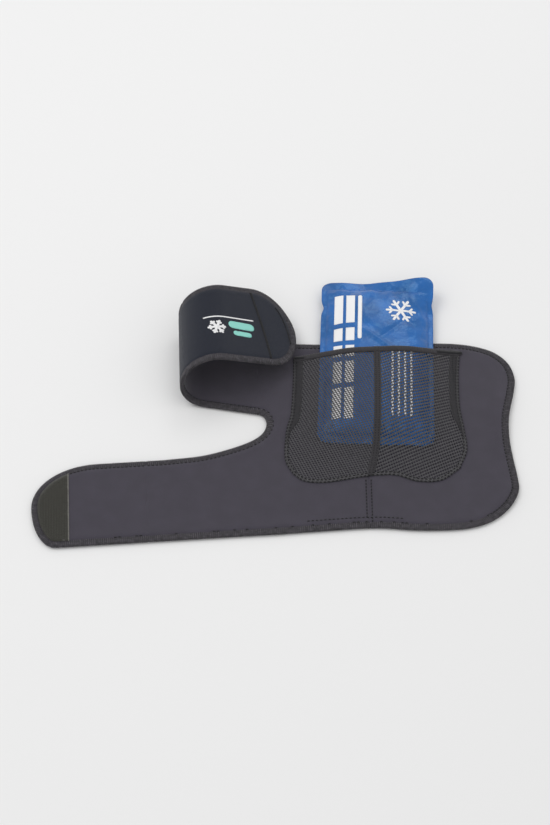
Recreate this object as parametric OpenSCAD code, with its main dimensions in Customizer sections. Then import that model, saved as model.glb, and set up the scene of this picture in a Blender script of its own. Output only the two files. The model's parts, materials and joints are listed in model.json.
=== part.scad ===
// Cold compression wrap: a laminated neoprene panel with a long lower strap, an upper strap that is
// folded over in a loop, a mesh pocket across the centre seam and a reusable gel pack in the pocket.
// The wrap lies on its outer face. +X runs from the straps to the free end, +Y towards the pocket's mouth.

/* [Laminate] */
// Thickness of the whole neoprene laminate
fabric_t = 4; // [3.5:0.5:4.5]
// Thickness of the inner jersey lining
lining_t = 0.5; // [0.4:0.1:0.8]
// Thickness of the outer loop fabric that the hooks grip
loop_t = 0.5; // [0.4:0.1:0.8]
// Width of the overlocked edge binding on each face
binding_w = 6; // [5:0.5:7]
// Thickness of the binding's thread around the cut edge
binding_t = 0.5; // [0.4:0.1:0.7]

/* [Straps] */
// Width of both straps
strap_w = 90; // [86:1:92]
// Length of the lower strap from its first fold to its tip
lower_len = 192; // [180:1:195]
// Slope of the lower strap below the X axis, in degrees
lower_slope = 4.2; // [3:0.1:5]
// Length of the upper strap from its root line to its tip
upper_len = 234; // [228:1:238]
// Slope of the upper strap's base above the X axis, in degrees
upper_slope = 10; // [9:0.5:11]
// Turn of the upper strap's roll away from the Y axis, in degrees
roll_turn = 2.5; // [2:0.1:3]
// Depth of the round at the lower strap's tip, on its upper side
tip_long = 60; // [50:1:64]
// Depth of the round at the lower strap's tip, on its lower side
tip_short = 22; // [20:1:26]
// Depth of the round at the upper strap's tip, on its far side
flap_round_far = 36; // [32:1:50]
// Depth of the round at the upper strap's tip, on its near side
flap_round_near = 34; // [26:1:36]

/* [Strap loop] */
// Flat run of the upper strap before it rolls up
loop_flat = 52; // [48:1:56]
// Radius of the loop's lower quarter, to the middle of the laminate
loop_r1 = 20.5; // [19:0.5:22]
// Radius of the loop's upper part, to the middle of the laminate
loop_r2 = 28.5; // [27:0.5:30]
// Slope of the flap as it comes down from the loop, in degrees
flap_slope = 28; // [26:0.5:30]
// Straight run of the flap before it levels out on the panel
flap_run = 67; // [62:0.5:67]
// Radius over which the flap levels out
flap_r3 = 24; // [20:1:28]

/* [Closures] */
// Length of the hook patch at each strap's end
hook_len = 34; // [30:1:38]
// Thickness of the hook tape with its hooks
hook_t = 1.4; // [1.2:0.1:1.8]

/* [Pocket] */
// Height of the pocket's crown above the lining, at the mouth
pocket_h = 15.5; // [15:0.5:20]
// Thickness of the mesh
mesh_t = 0.5; // [0.4:0.1:0.6]
// Width of the binding at the pocket's mouth
mouth_w = 7; // [6:0.5:8]
// Thickness of the binding at the pocket's mouth
mouth_t = 1.4; // [1.2:0.1:1.8]

/* [Gel pack] */
// Width of the gel pack
pack_w = 110; // [104:1:112]
// Length of the gel pack
pack_len = 198; // [190:1:202]
// Height of the gel pack's crown
pack_h = 13; // [11:0.5:13]
// Width of the welded margin along the sides
weld_w = 5; // [4:0.5:6]
// Width of the welded margin at the two ends
weld_end = 9; // [8:0.5:11]
// Thickness of each film
film_t = 0.35; // [0.3:0.05:0.4]

/* [Moving joints] */
// Clearance left where the fabric folds
fold_gap = 0.3; // [0.2:0.1:0.5]
// Length of each of the lower strap's first two folding lengths
lower_pitch = 58; // [54:1:60]
// X position of the fold between the panel and the end wing
wing_x = 97; // [95:1:99]
// Angles of the loop, in degrees, at which the upper strap's three folds lie
fold_angles = [30, 90, 150]; // [0:1:180]

/* [Hidden] */
$fn = 32;

foam_top = fabric_t - lining_t;
over = 2;                       // how far a cutting tool runs past what it cuts
reach = 400;                    // longer than the wrap in any direction
half_gap = fold_gap / 2;
strap_mid = strap_w / 2;
stitch_h = 0.4;                 // height of a row of stitches above the fabric
stitch_w = 1.2;
touch = 0.02;                   // gap between two thin layers that lie on each other
seam_x = -5;                    // X position of the panel's centre seam

// ---------- points and curves in the plane ----------

// Catmull-Rom curve from p1 to p2, at t from 0 to 1.
function blend4(p0, p1, p2, p3, t) =
    0.5 * (2 * p1 + (p2 - p0) * t + (2 * p0 - 5 * p1 + 4 * p2 - p3) * t * t
        + (3 * p1 - p0 - 3 * p2 + p3) * t * t * t);

// A smooth curve through every point of an open list, with steps pieces between two points.
function smooth(pts, steps) = [
    for (i = [0 : len(pts) - 2], k = [0 : steps - 1])
        blend4(
            i > 0 ? pts[i - 1] : 2 * pts[0] - pts[1], pts[i], pts[i + 1],
            i < len(pts) - 2 ? pts[i + 2] : 2 * pts[i + 1] - pts[i], k / steps
        ),
    pts[len(pts) - 1]
];

// The point a share t of the way along an open smooth curve.
function along(pts, t) =
    let (n = len(pts) - 1, f = min(t, 0.999999) * n, i = floor(f))
    blend4(
        i > 0 ? pts[i - 1] : 2 * pts[0] - pts[1], pts[i], pts[i + 1],
        i < n - 1 ? pts[i + 2] : 2 * pts[i + 1] - pts[i], f - i
    );

function left_of(v) = [-v.y, v.x] / norm(v);

// Moves each point of a line to its left by d. A closed line runs counter-clockwise, so left is inside.
function inset(pts, d, closed = true) = [
    for (i = [0 : len(pts) - 1])
        let (
            n = len(pts),
            before = closed ? pts[(i + n - 1) % n] : pts[max(i - 1, 0)],
            after = closed ? pts[(i + 1) % n] : pts[min(i + 1, n - 1)]
        )
        pts[i] + d * left_of(after - before)
];

function reversed(pts) = [for (i = [len(pts) - 1 : -1 : 0]) pts[i]];

// ---------- the flat pattern ----------

lower_org = [-122, -69];        // middle of the lower strap's first fold
upper_org = [-106, 25.3];       // near end of the upper strap's root line
lower_dir = [-cos(lower_slope), -sin(lower_slope)];
lower_across = [-sin(lower_slope), cos(lower_slope)];
upper_dir = [-cos(upper_slope), sin(upper_slope)];
upper_across = [sin(upper_slope), cos(upper_slope)];

// A point of the lower strap: s along it from the first fold, w across it towards +Y.
function lower_point(s, w) = lower_org + s * lower_dir + w * lower_across;

// The rounded end of a strap, as [s, w] from one straight edge to the other, with w about the middle.
// Each half is a quarter of an ellipse: depth first_d on the -w side and last_d on the +w side.
tip_steps = 8;
function tip(length, first_d, last_d) = concat(
    [for (i = [0 : tip_steps]) let (a = i * 90 / tip_steps)
        [length - first_d + first_d * sin(a), -strap_mid * cos(a)]],
    [for (i = [tip_steps - 1 : -1 : 0]) let (a = i * 90 / tip_steps)
        [length - last_d + last_d * sin(a), strap_mid * cos(a)]]
);

// Inside of the notch between the straps, from the upper strap to the lower strap's top edge.
notch = smooth([
    upper_org + 12 * upper_dir, upper_org, [-100.6, 20.8], [-98.8, 12], [-103, 1.5],
    [-114, -7.5], [-134, -16.5], [-160, -24.5], lower_point(70, strap_mid)
], 5);
// Bottom edge, free end and top edge, from the lower strap's bottom edge to the upper strap.
rim = smooth([
    lower_point(40, -strap_mid), lower_point(0, -strap_mid), [-90, -112], [-50, -108.5],
    [0, -105], [40, -107.5], [80, -106], [104, -98.5], [122, -84], [132, -66], [132.5, -48],
    [128.5, -10], [129.5, 20], [136, 50], [138.5, 70], [132, 90], [113, 105], [80, 112],
    [20, 111.5], [-50, 111], upper_org + strap_w * upper_across - 6 * upper_dir,
    upper_org + strap_w * upper_across + 12 * upper_dir
], 5);
stub = 60;                      // how far the pattern runs on past the upper strap's root line
outline = concat(
    [upper_org + stub * upper_dir], notch,
    [for (p = reversed(tip(lower_len, tip_short, tip_long))) lower_point(p.x, p.y)],
    rim, [upper_org + strap_w * upper_across + stub * upper_dir]
);

module slab(edge, z0, z1) {
    translate([0, 0, z0]) linear_extrude(z1 - z0) polygon(inset(outline, edge));
}

module flat_lining() { slab(binding_w, foam_top, fabric_t); }

module flat_foam() { slab(binding_t, loop_t, foam_top); }

module flat_loop_face() { slab(binding_w, 0, loop_t); }

// A channel of thread round the edge: a flange on each face and a web round the cut edge.
module flat_binding() {
    difference() {
        slab(0, 0, fabric_t);
        slab(binding_t, loop_t, foam_top);
        slab(binding_w, -over, fabric_t + over);
    }
}

// ---------- regions that cut the flat pattern into bodies ----------

region_h = 12;
lower_side = 75;                // clears the lower strap's sides and keeps off the upper strap

// The lower strap between two distances from its first fold.
module lower_region(s0, s1) {
    translate([lower_org.x, lower_org.y, -over]) rotate(180 + lower_slope)
        translate([s0, -lower_side, 0]) cube([s1 - s0, 2 * lower_side, region_h]);
}

// Everything past the upper strap's root line.
root_side = 12;
module stub_region() {
    translate([upper_org.x, upper_org.y, -over]) rotate(90 + roll_turn)
        translate([-root_side, 0, 0]) cube([strap_w + 2 * root_side, 2 * stub, region_h]);
}

module wing_region(gap) {
    translate([wing_x + gap, -reach / 2, -over]) cube([reach, reach, region_h]);
}

// The half of the panel on one side of the centre seam: side is -1 or 1.
module panel_region(side) {
    difference() {
        translate([side < 0 ? seam_x - reach : seam_x, -reach / 2, -over]) cube([reach, reach, region_h]);
        wing_region(-half_gap);
        lower_region(-half_gap, reach);
        stub_region();
    }
}

module on_panel(side) { intersection() { children(); panel_region(side); } }

module on_wing() { intersection() { children(); wing_region(half_gap); } }

module on_lower(i) {
    intersection() {
        children();
        lower_region(i * lower_pitch + half_gap, i < 2 ? (i + 1) * lower_pitch - half_gap : reach);
    }
}

// ---------- the rolled upper strap ----------

rest_slope = 2;                 // slope at which the flap's tip comes to rest, in degrees
// Runs of the loop's profile as [length, turn in degrees], from the root line to the tip.
profile = [
    [loop_flat, 0],
    [loop_r1 * 90 * PI / 180, 90],
    [loop_r2 * (90 + flap_slope) * PI / 180, 90 + flap_slope],
    [flap_run, 0],
    [flap_r3 * (flap_slope - rest_slope) * PI / 180, rest_slope - flap_slope],
    [reach, 0]
];

// Where the middle of the laminate is after a distance q round the loop: [u, z, direction in degrees].
function loop_at(q, i = 0, u = 0, z = fabric_t / 2, f = 0) =
    q <= 0 ? [u + q * cos(f), z + q * sin(f), f] :
    let (
        run = profile[i][0], turn = profile[i][1], a = min(q, run),
        r = turn == 0 ? 0 : run / (turn * PI / 180),
        f2 = f + turn * a / run,
        u2 = u + (turn == 0 ? a * cos(f) : r * (sin(f2) - sin(f))),
        z2 = z + (turn == 0 ? a * sin(f) : r * (cos(f) - cos(f2)))
    )
    q <= run ? [u2, z2, f2] : loop_at(q - run, i + 1, u2, z2, f2);

// The distance round the loop at which its direction is f degrees, on the rolled runs.
function loop_q(f) = loop_flat + (f <= 90 ? loop_r1 * f : loop_r1 * 90 + loop_r2 * (f - 90)) * PI / 180;

skew = upper_slope + roll_turn; // angle between the strap and the way it rolls up

// A point of the rolled strap: q round the loop, w across from the near edge, h up from the outer face.
function rolled(q, w, h) =
    let (
        s = (q + w * sin(skew)) / cos(skew), t = s * sin(skew) + w * cos(skew), p = loop_at(q),
        u = p.x - sin(p.z) * (h - fabric_t / 2), z = p.y + cos(p.z) * (h - fabric_t / 2)
    )
    [
        upper_org.x - u * cos(roll_turn) - t * sin(roll_turn),
        upper_org.y - u * sin(roll_turn) + t * cos(roll_turn),
        z
    ];

function turned(s, w) = s * cos(skew) - w * sin(skew); // q of a point s along the strap and w across

// Triangles of a closed slab between two grids of (m + 1) by (n + 1) points, the top grid first.
function slab_faces(m, n) =
    let (b = (m + 1) * (n + 1), w = n + 1)
    concat(
        [for (i = [0 : m - 1], j = [0 : n - 1], k = [0 : 1])
            k == 0 ? [i * w + j, (i + 1) * w + j, (i + 1) * w + j + 1]
                : [i * w + j, (i + 1) * w + j + 1, i * w + j + 1]],
        [for (i = [0 : m - 1], j = [0 : n - 1], k = [0 : 1])
            k == 0 ? [b + i * w + j, b + (i + 1) * w + j + 1, b + (i + 1) * w + j]
                : [b + i * w + j, b + i * w + j + 1, b + (i + 1) * w + j + 1]],
        [for (i = [0 : m - 1], k = [0 : 1])
            k == 0 ? [i * w, b + i * w, b + (i + 1) * w] : [i * w, b + (i + 1) * w, (i + 1) * w]],
        [for (i = [0 : m - 1], k = [0 : 1])
            k == 0 ? [i * w + n, b + (i + 1) * w + n, b + i * w + n]
                : [i * w + n, (i + 1) * w + n, b + (i + 1) * w + n]],
        [for (j = [0 : n - 1], k = [0 : 1])
            k == 0 ? [j, b + j + 1, b + j] : [j, j + 1, b + j + 1]],
        [for (j = [0 : n - 1], k = [0 : 1])
            k == 0 ? [m * w + j, b + m * w + j, b + m * w + j + 1]
                : [m * w + j, b + m * w + j + 1, m * w + j + 1]]
    );

// A closed solid between a top grid and a bottom grid, each a list of rows of points.
module grid_solid(top, bottom) {
    polyhedron(
        points = concat([for (r = top) each r], [for (r = bottom) each r]),
        faces = slab_faces(len(top) - 1, len(top[0]) - 1), convexity = 6
    );
}

across = 6;

// A layer of the rolled strap between two fold lines, from h0 to h1 above the outer face.
module rolled_layer(q0, q1, edge, h0, h1, rows) {
    function grid(h) = [
        for (i = [0 : rows]) [
            for (j = [0 : across])
                rolled(q0 + (q1 - q0) * i / rows, edge + (strap_w - 2 * edge) * j / across, h)
        ]
    ];
    grid_solid(grid(h1), grid(h0));
}

// The binding's section as [distance in from the edge, height], counter-clockwise.
channel = [
    [0, 0], [binding_w, 0], [binding_w, loop_t], [binding_t, loop_t],
    [binding_t, foam_top], [binding_w, foam_top], [binding_w, fabric_t], [0, fabric_t]
];

// A closed tube through rings of n points each.
module ring_solid(rings) {
    n = len(rings[0]);
    m = len(rings);
    polyhedron(
        points = [for (r = rings) each r],
        faces = concat(
            [for (i = [0 : m - 2], j = [0 : n - 1], k = [0 : 1])
                let (a = i * n + j, b = i * n + (j + 1) % n)
                k == 0 ? [a, b, b + n] : [a, b + n, a + n]],
            [[for (j = [n - 1 : -1 : 0]) j], [for (j = [0 : n - 1]) (m - 1) * n + j]]
        ),
        convexity = 8
    );
}

// The binding along both edges of the rolled strap between two fold lines.
module rolled_binding(q0, q1, rows) {
    for (side = [-1, 1])
        ring_solid([
            for (i = side < 0 ? [0 : rows] : [rows : -1 : 0]) [
                for (p = channel)
                    rolled(q0 + (q1 - q0) * i / rows, side < 0 ? p.x : strap_w - p.x, p.y)
            ]
        ]);
}

fold_q = [for (a = fold_angles) loop_q(a)];
upper_cuts = [[0, fold_q[0]], [fold_q[0], fold_q[1]], [fold_q[1], fold_q[2]]];
function cut_start(i) = i == 0 ? 0 : upper_cuts[i][0] + half_gap;
function cut_end(i) = upper_cuts[i][1] - half_gap;
function cut_rows(i) = i == 0 ? 12 : 8;
rolled_gap = 0.05;              // keeps the rolled layers clear of their binding
face_edge = binding_w + rolled_gap;
foam_edge = binding_t + rolled_gap;

module upper_lining(i) {
    rolled_layer(cut_start(i), cut_end(i), face_edge, foam_top, fabric_t, cut_rows(i));
}

module upper_foam(i) {
    rolled_layer(cut_start(i), cut_end(i), foam_edge, loop_t, foam_top, cut_rows(i));
}

module upper_loop_face(i) {
    rolled_layer(cut_start(i), cut_end(i), face_edge, 0, loop_t, cut_rows(i));
}

module upper_binding(i) {
    rolled_binding(cut_start(i), cut_end(i), cut_rows(i));
}

// ---------- the flap, from the last fold to the strap's tip ----------

// The strap's outline as [s, w] with w from the near edge, moved in by edge.
function strap_outline(edge) =
    let (end = [for (p = tip(upper_len, flap_round_near, flap_round_far)) [p.x, p.y + strap_mid]])
    inset(concat([[0, 0]], end, [[0, strap_w]]), edge);

function outline_end(edge) = max([for (p = strap_outline(edge)) turned(p.x, p.y)]);

// Where the line at a distance q round the loop crosses an outline: its nearest and farthest w.
function span_at(line, q) =
    let (w = [
        for (i = [0 : len(line) - 1])
            let (a = line[i], b = line[(i + 1) % len(line)], qa = turned(a.x, a.y), qb = turned(b.x, b.y))
            if ((qa <= q) != (qb <= q)) a.y + (b.y - a.y) * (q - qa) / (qb - qa)
    ])
    [min(w), max(w)];

// Distances round the loop at which every layer of the flap has a row of points, so that they meet flat.
flap_start = fold_q[2] + half_gap;
down_q = loop_q(180 + flap_slope);
level_q = down_q + flap_run;
rest_q = level_q + flap_r3 * (flap_slope - rest_slope) * PI / 180;
end_chord = 0.3;                // the last row lies this far short of the tip
end_step = 1.5;                 // and the row before it this far
bend_q = concat(
    [for (i = [0 : 8]) flap_start + (down_q - flap_start) * i / 8],
    [for (i = [1 : 6]) down_q + flap_run * i / 6],
    [for (i = [1 : 4]) level_q + (rest_q - level_q) * i / 4]
);
tip_q = [outline_end(0) - end_step, outline_end(0) - end_chord];
flap_q = concat([for (q = bend_q) if (q < tip_q[0] - end_chord) q], tip_q);

// A layer of the flap out to its rounded tip, all edges moved in by edge. It starts early when it is to cut.
module flap_layer(edge, h0, h1, early = 0) {
    line = strap_outline(edge);
    rows = concat(
        early > 0 ? [flap_start - early] : [],
        [for (q = flap_q) if (q < outline_end(edge) - end_chord / 2) q]
    );
    function grid(h) = [
        for (q = rows)
            let (w = span_at(line, q))
            [for (j = [0 : across]) rolled(q, w[0] + (w[1] - w[0]) * j / across, h)]
    ];
    grid_solid(grid(h1), grid(h0));
}

module flap_binding() {
    difference() {
        difference() {
            flap_layer(0, 0, fabric_t);
            flap_layer(binding_t, loop_t, foam_top, over);
        }
        flap_layer(binding_w, -over, fabric_t + over, over);
    }
}

// ---------- closures, stitching and badge ----------

hook_edge = binding_w - 0.4;    // the hook tape's edge lies just inside the binding
hook_from = upper_len - hook_len;

// Hook patch on the upper flap's inner face, which faces down onto the panel.
module upper_hook() {
    line = strap_outline(hook_edge);
    far = turned(hook_from, strap_w - hook_edge) + 1;
    near = turned(hook_from, hook_edge);
    rows = concat(
        [far], [for (q = flap_q) if (q > far + 1 && q < near - 1) q],
        [near], [for (q = flap_q) if (q > near + 1 && q < outline_end(hook_edge) - end_chord / 2) q]
    );
    function grid(h) = [
        for (q = rows)
            let (w = span_at(line, q), w0 = max(w[0], (hook_from * cos(skew) - q) / sin(skew)))
            [for (j = [0 : across]) rolled(q, w0 + (w[1] - w0) * j / across, h)]
    ];
    grid_solid(grid(fabric_t + hook_t), grid(fabric_t));
}

// Row of stitches across the flap's outer face, where the hook patch is sewn on behind it.
module upper_hook_row() {
    function grid(h) = [
        for (i = [0 : 1]) [
            for (j = [0 : across])
                let (s = hook_from + i * stitch_w, w = binding_w + (strap_w - 2 * binding_w) * j / across)
                rolled(turned(s, w), w, h)
        ]
    ];
    grid_solid(grid(0), grid(-stitch_h));
}

// Hook patch on the lower strap's end, on the same face as the pocket.
module lower_hook() {
    intersection() {
        slab(hook_edge, fabric_t, fabric_t + hook_t);
        lower_region(lower_len - hook_len, reach);
    }
}

row_gap = 1.5;                  // from the hook tape's edge to its row of stitches
module lower_hook_row() {
    intersection() {
        slab(binding_w, fabric_t, fabric_t + stitch_h);
        lower_region(lower_len - hook_len - row_gap - stitch_w, lower_len - hook_len - row_gap);
    }
}

// Printed badge on the loop's crown: two slanted bars on the outer face, from one row of the flap to another.
badge_t = 0.2;
badge_w = 14;                   // width of a bar across the strap
badge_lean = 1.5;               // how far a bar shifts across the strap from row to row
badge_bars = [[1, 4, 34], [5, 8, 32]];  // first and last row of points, distance from the near edge
module badge_bar(first, last, w) {
    function grid(h) = [
        for (i = [first : last])
            let (w0 = w + (i - first) * badge_lean)
            [rolled(flap_q[i], w0, h), rolled(flap_q[i], w0 + badge_w, h)]
    ];
    grid_solid(grid(0), grid(-badge_t));
}

module badge() {
    for (b = badge_bars) badge_bar(b[0], b[1], b[2]);
}

seam_gap = 2.6;                 // from the centre seam to each row of its stitches
seam_runs = [[-98, -51], [104, 106]];
module centre_stitches() {
    for (x = [-seam_gap, seam_gap], run = seam_runs)
        translate([seam_x + x - stitch_w / 2, run[0], fabric_t]) cube([stitch_w, run[1] - run[0], stitch_h]);
}

// ---------- mesh pocket ----------

pocket_x = 7;                   // the middle of the pocket's mouth
mouth = [[-73, 94], [-40, 95], [pocket_x, 96.6], [50, 99], [88, 101.5]];
cusp = [-3, -48];               // where the two halves meet at the bottom
low_corner = [[-75, -46], [80, -40]];
bottom_edge = [
    [cusp, [-20, -51.5], [-45, -56], [-64, -54.5], low_corner[0]],
    [cusp, [20, -47.5], [40, -54.5], [62, -53.5], low_corner[1]]
];
side_edge = [
    [low_corner[0], [-82, -28], [-80.5, 4], [-76, 25], [-74, 60], mouth[0]],
    [low_corner[1], [88, -18], [86.5, 8], [84, 35], [85, 70], mouth[4]]
];
function mouth_at(side, u) =
    side == 0 ? along([mouth[2], mouth[1], mouth[0]], u) : along([mouth[2], mouth[3], mouth[4]], u);

// A point of one half of the pocket: u from its centre line to its side, v from its bottom to its mouth.
function pocket_xy(side, u, v) =
    let (
        b = along(bottom_edge[side], u), t = mouth_at(side, u), c = cusp + (mouth[2] - cusp) * v,
        o = along(side_edge[side], v), corner_b = low_corner[side], corner_t = side == 0 ? mouth[0] : mouth[4]
    )
    (1 - v) * b + v * t + (1 - u) * c + u * o
        - (1 - u) * (1 - v) * cusp - u * (1 - v) * corner_b - (1 - u) * v * mouth[2] - u * v * corner_t;

function ease(t) = let (c = min(max(t, 0), 1)) c * c * (3 - 2 * c);
hem_u = 0.82;                   // outside this share of its width the mesh lies flat
hem_v = 0.035;                  // below this share of its height the mesh lies flat
crown_v = 0.5;                  // share of its height over which the mesh rises to its full height
crown_power = 2.2;              // how square the pocket's cross-section is
function pocket_rise(u, v) =
    pocket_h * (1 - pow(min(u / hem_u, 1), crown_power)) * ease((v - hem_v) / crown_v);

mesh_u = 10;
mesh_v = 14;
mouth_v = 0.955;                // the mesh ends here, inside the mouth's binding
module mesh_half(side) {
    function grid(h) = [
        for (i = [0 : mesh_v]) [
            for (j = [0 : mesh_u])
                let (
                    u = (side == 0 ? mesh_u - j : j) / mesh_u,
                    v = i == 0 ? 0 : hem_v + (mouth_v - hem_v) * (i - 1) / (mesh_v - 1),
                    p = pocket_xy(side, u, v)
                )
                [p.x, p.y, fabric_t + pocket_rise(u, v) + h]
        ]
    ];
    grid_solid(grid(mesh_t), grid(0));
}

// A folded tape round the mesh's top edge, from side to side over the pack.
mouth_lean = [-0.04, 1];        // direction across the tape
module mouth_binding() {
    steps = 12;
    ring_solid([
        for (i = [steps : -1 : -steps])
            let (
                side = i < 0 ? 0 : 1, u = abs(i) / steps,
                p = pocket_xy(side, u, mouth_v) + [0, touch], q = p + mouth_lean * mouth_w,
                z = fabric_t + pocket_rise(u, mouth_v), t = mouth_t
            )
            [[p.x, p.y, z], [q.x, q.y, z], [q.x, q.y, z + t], [p.x, p.y, z + t]]
    ]);
}

stitched_v = 0.94;              // share of the pocket's sides that is sewn down
stitch_in = 0.8;                // from the pocket's border to its stitches
border_n = 12;                  // points along each side and along each half of the bottom
pocket_border = concat(
    [for (i = [border_n : -1 : 1]) along(side_edge[0], i / border_n * stitched_v)],
    [for (i = [border_n : -1 : 1]) along(bottom_edge[0], i / border_n)],
    [for (i = [0 : border_n]) along(bottom_edge[1], i / border_n)],
    [for (i = [1 : border_n]) along(side_edge[1], i / border_n * stitched_v)]
);

module pocket_stitches() {
    translate([0, 0, fabric_t + mesh_t]) linear_extrude(stitch_h) polygon(concat(
        inset(pocket_border, stitch_in, false),
        reversed(inset(pocket_border, stitch_in + stitch_w, false))
    ));
}

// Dense stitches across the two flat ends of the mouth's binding.
tack = [8, 2, 0.5];
tack_at = [[-72, 90.6], [78, 97.4]];
module bar_tacks() {
    for (at = tack_at) translate([at.x, at.y, fabric_t + mouth_t]) cube(tack);
}

// ---------- gel pack ----------

pack_at = [3, -13];             // middle of the pack's lower end, inside the pocket
pack_turn = 2.2;                // how far the pack leans towards +X, in degrees
pack_z = fabric_t + stitch_h + fold_gap;
corner_r = 10;
pack_cols = 14;
pack_rows = 24;

// Height of the gel over the back film, at shares a across and b along the space inside the welds.
bulge = [2.2, 6];               // how square the pillow is across and along
bulge_edge = 0.6;               // how steeply it rises from the welds: smaller is steeper
function bulged(share, power) = pow(max(1 - pow(abs(2 * share - 1), power), 0), bulge_edge);
function pillow(a, b) = bulged(a, bulge[0]) * bulged(b, bulge[1]);

function spread(i, n) = (1 - cos(180 * i / n)) / 2;

module in_pocket() { translate([pack_at.x, pack_at.y, 0]) rotate(-pack_turn) children(); }

// A grid over the gel pack at a height of lift[0] + lift[1] * pillow, inside welds of the given widths.
function pack_grid(side_w, end_w, lift) = [
    for (i = [0 : pack_rows]) [
        for (j = [0 : pack_cols])
            let (a = spread(j, pack_cols), b = spread(i, pack_rows))
            [
                side_w - pack_w / 2 + (pack_w - 2 * side_w) * a,
                end_w + (pack_len - 2 * end_w) * b,
                lift[0] + lift[1] * pillow(a, b)
            ]
    ]
];

gel_h = pack_h - 2 * film_t;

module pack_outline(z0, z1) {
    translate([0, pack_len / 2, z0]) linear_extrude(z1 - z0)
        union() {
            square([pack_w - 2 * corner_r, pack_len], center = true);
            square([pack_w, pack_len - 2 * corner_r], center = true);
            for (x = [-1, 1], y = [-1, 1])
                translate([x * (pack_w / 2 - corner_r), y * (pack_len / 2 - corner_r)])
                    circle(corner_r);
        }
}

module back_film() { pack_outline(pack_z, pack_z + film_t); }

// The front film: a flat welded margin round a raised pillow that starts just inside the margin's edge.
lap = 1;
pillow_lift = 0.1;              // the pillow's underside lies this far above the back film at its border
module front_film() {
    z = pack_z + film_t;
    difference() {
        pack_outline(z, z + film_t);
        translate([weld_w - pack_w / 2, weld_end, z - over])
            cube([pack_w - 2 * weld_w, pack_len - 2 * weld_end, 2 * over]);
    }
    grid_solid(
        pack_grid(weld_w - lap, weld_end - lap, [z + film_t, gel_h]),
        pack_grid(weld_w - lap, weld_end - lap, [z + pillow_lift, gel_h])
    );
}

gel_side = 0.6;                 // gap from the weld to the gel
gel_slack = 1.6;                // the gel's crown stays this far below the film's
module gel() {
    z = pack_z + film_t + touch;
    grid_solid(
        pack_grid(weld_w + gel_side, weld_end + gel_side, [z + touch, gel_h - gel_slack]),
        pack_grid(weld_w + gel_side, weld_end + gel_side, [z, 0])
    );
}

// Printed marks in plan: a snow crystal and plain bars, from the pack's middle and its lower end.
crystal = [23, 157];            // centre of the snow crystal
crystal_r = 15;
crystal_bar = 2.2;
wide_x = [-42, -30.5];          // left edges of the two columns of wide bars
wide_w = 8.5;
wide_bars = [[24, 60], [66, 92], [98, 112], [118, 134], [140, 176]];
short_bar = [[-19, 120], [4, 56]];
thin_bars = [[14, 20, 26, 32], 28, 2, 80];  // left edges, lower end, width, length
module print_outline() {
    translate(crystal) for (a = [0, 60, 120]) rotate(a) square([2 * crystal_r, crystal_bar], center = true);
    for (x = wide_x, y = wide_bars) translate([x, y[0]]) square([wide_w, y[1] - y[0]]);
    translate(short_bar[0]) square(short_bar[1]);
    for (x = thin_bars[0]) translate([x, thin_bars[1]]) square([thin_bars[2], thin_bars[3]]);
}

// The marks as a thin layer that lies on the front film.
print_t = 0.15;
module pack_print() {
    z = pack_z + 2 * film_t + touch;
    intersection() {
        grid_solid(
            pack_grid(weld_w - lap, weld_end - lap, [z + print_t, gel_h]),
            pack_grid(weld_w - lap, weld_end - lap, [z, gel_h])
        );
        linear_extrude(reach) print_outline();
    }
}

// ---------- nodes ----------

lining_colour = "dimgray";
foam_colour = "black";
face_colour = "darkslategray";
thread_colour = "gray";

color(lining_colour) on_panel(-1) flat_lining();  // panel_left_lining
color(foam_colour) on_panel(-1) flat_foam();  // panel_left_foam
color(face_colour) on_panel(-1) flat_loop_face();  // panel_left_loop_face
color(lining_colour) on_panel(1) flat_lining();  // panel_right_lining
color(foam_colour) on_panel(1) flat_foam();  // panel_right_foam
color(face_colour) on_panel(1) flat_loop_face();  // panel_right_loop_face
color(thread_colour) { on_panel(-1) flat_binding(); on_panel(1) flat_binding(); }  // panel_edge_binding
color(thread_colour) centre_stitches();  // centre_seam_stitching
color("darkslategray") mesh_half(0);  // pocket_mesh_left
color("darkslategray") mesh_half(1);  // pocket_mesh_right
color(foam_colour) mouth_binding();  // pocket_mouth_binding
color(thread_colour) pocket_stitches();  // pocket_edge_stitching
color(thread_colour) bar_tacks();  // pocket_bar_tacks
color(lining_colour) upper_lining(0);  // upper_strap_root_lining
color(foam_colour) upper_foam(0);  // upper_strap_root_foam
color(face_colour) upper_loop_face(0);  // upper_strap_root_loop_face
color(thread_colour) upper_binding(0);  // upper_strap_root_binding
color(lining_colour) upper_lining(1);  // upper_strap_curl_lining
color(foam_colour) upper_foam(1);  // upper_strap_curl_foam
color(face_colour) upper_loop_face(1);  // upper_strap_curl_loop_face
color(thread_colour) upper_binding(1);  // upper_strap_curl_binding
color(lining_colour) upper_lining(2);  // upper_strap_crown_lining
color(foam_colour) upper_foam(2);  // upper_strap_crown_foam
color(face_colour) upper_loop_face(2);  // upper_strap_crown_loop_face
color(thread_colour) upper_binding(2);  // upper_strap_crown_binding
color(lining_colour) flap_layer(face_edge, foam_top, fabric_t);  // upper_strap_flap_lining
color(foam_colour) flap_layer(foam_edge, loop_t, foam_top);  // upper_strap_flap_foam
color(face_colour) flap_layer(face_edge, 0, loop_t);  // upper_strap_flap_loop_face
color(thread_colour) flap_binding();  // upper_strap_flap_binding
color("darkolivegreen") upper_hook();  // upper_hook_patch
color(thread_colour) upper_hook_row();  // upper_hook_stitching
color("aquamarine") badge();  // strap_badge
color(lining_colour) on_lower(0) flat_lining();  // lower_strap_inner_lining
color(foam_colour) on_lower(0) flat_foam();  // lower_strap_inner_foam
color(face_colour) on_lower(0) flat_loop_face();  // lower_strap_inner_loop_face
color(thread_colour) on_lower(0) flat_binding();  // lower_strap_inner_binding
color(lining_colour) on_lower(1) flat_lining();  // lower_strap_middle_lining
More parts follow.
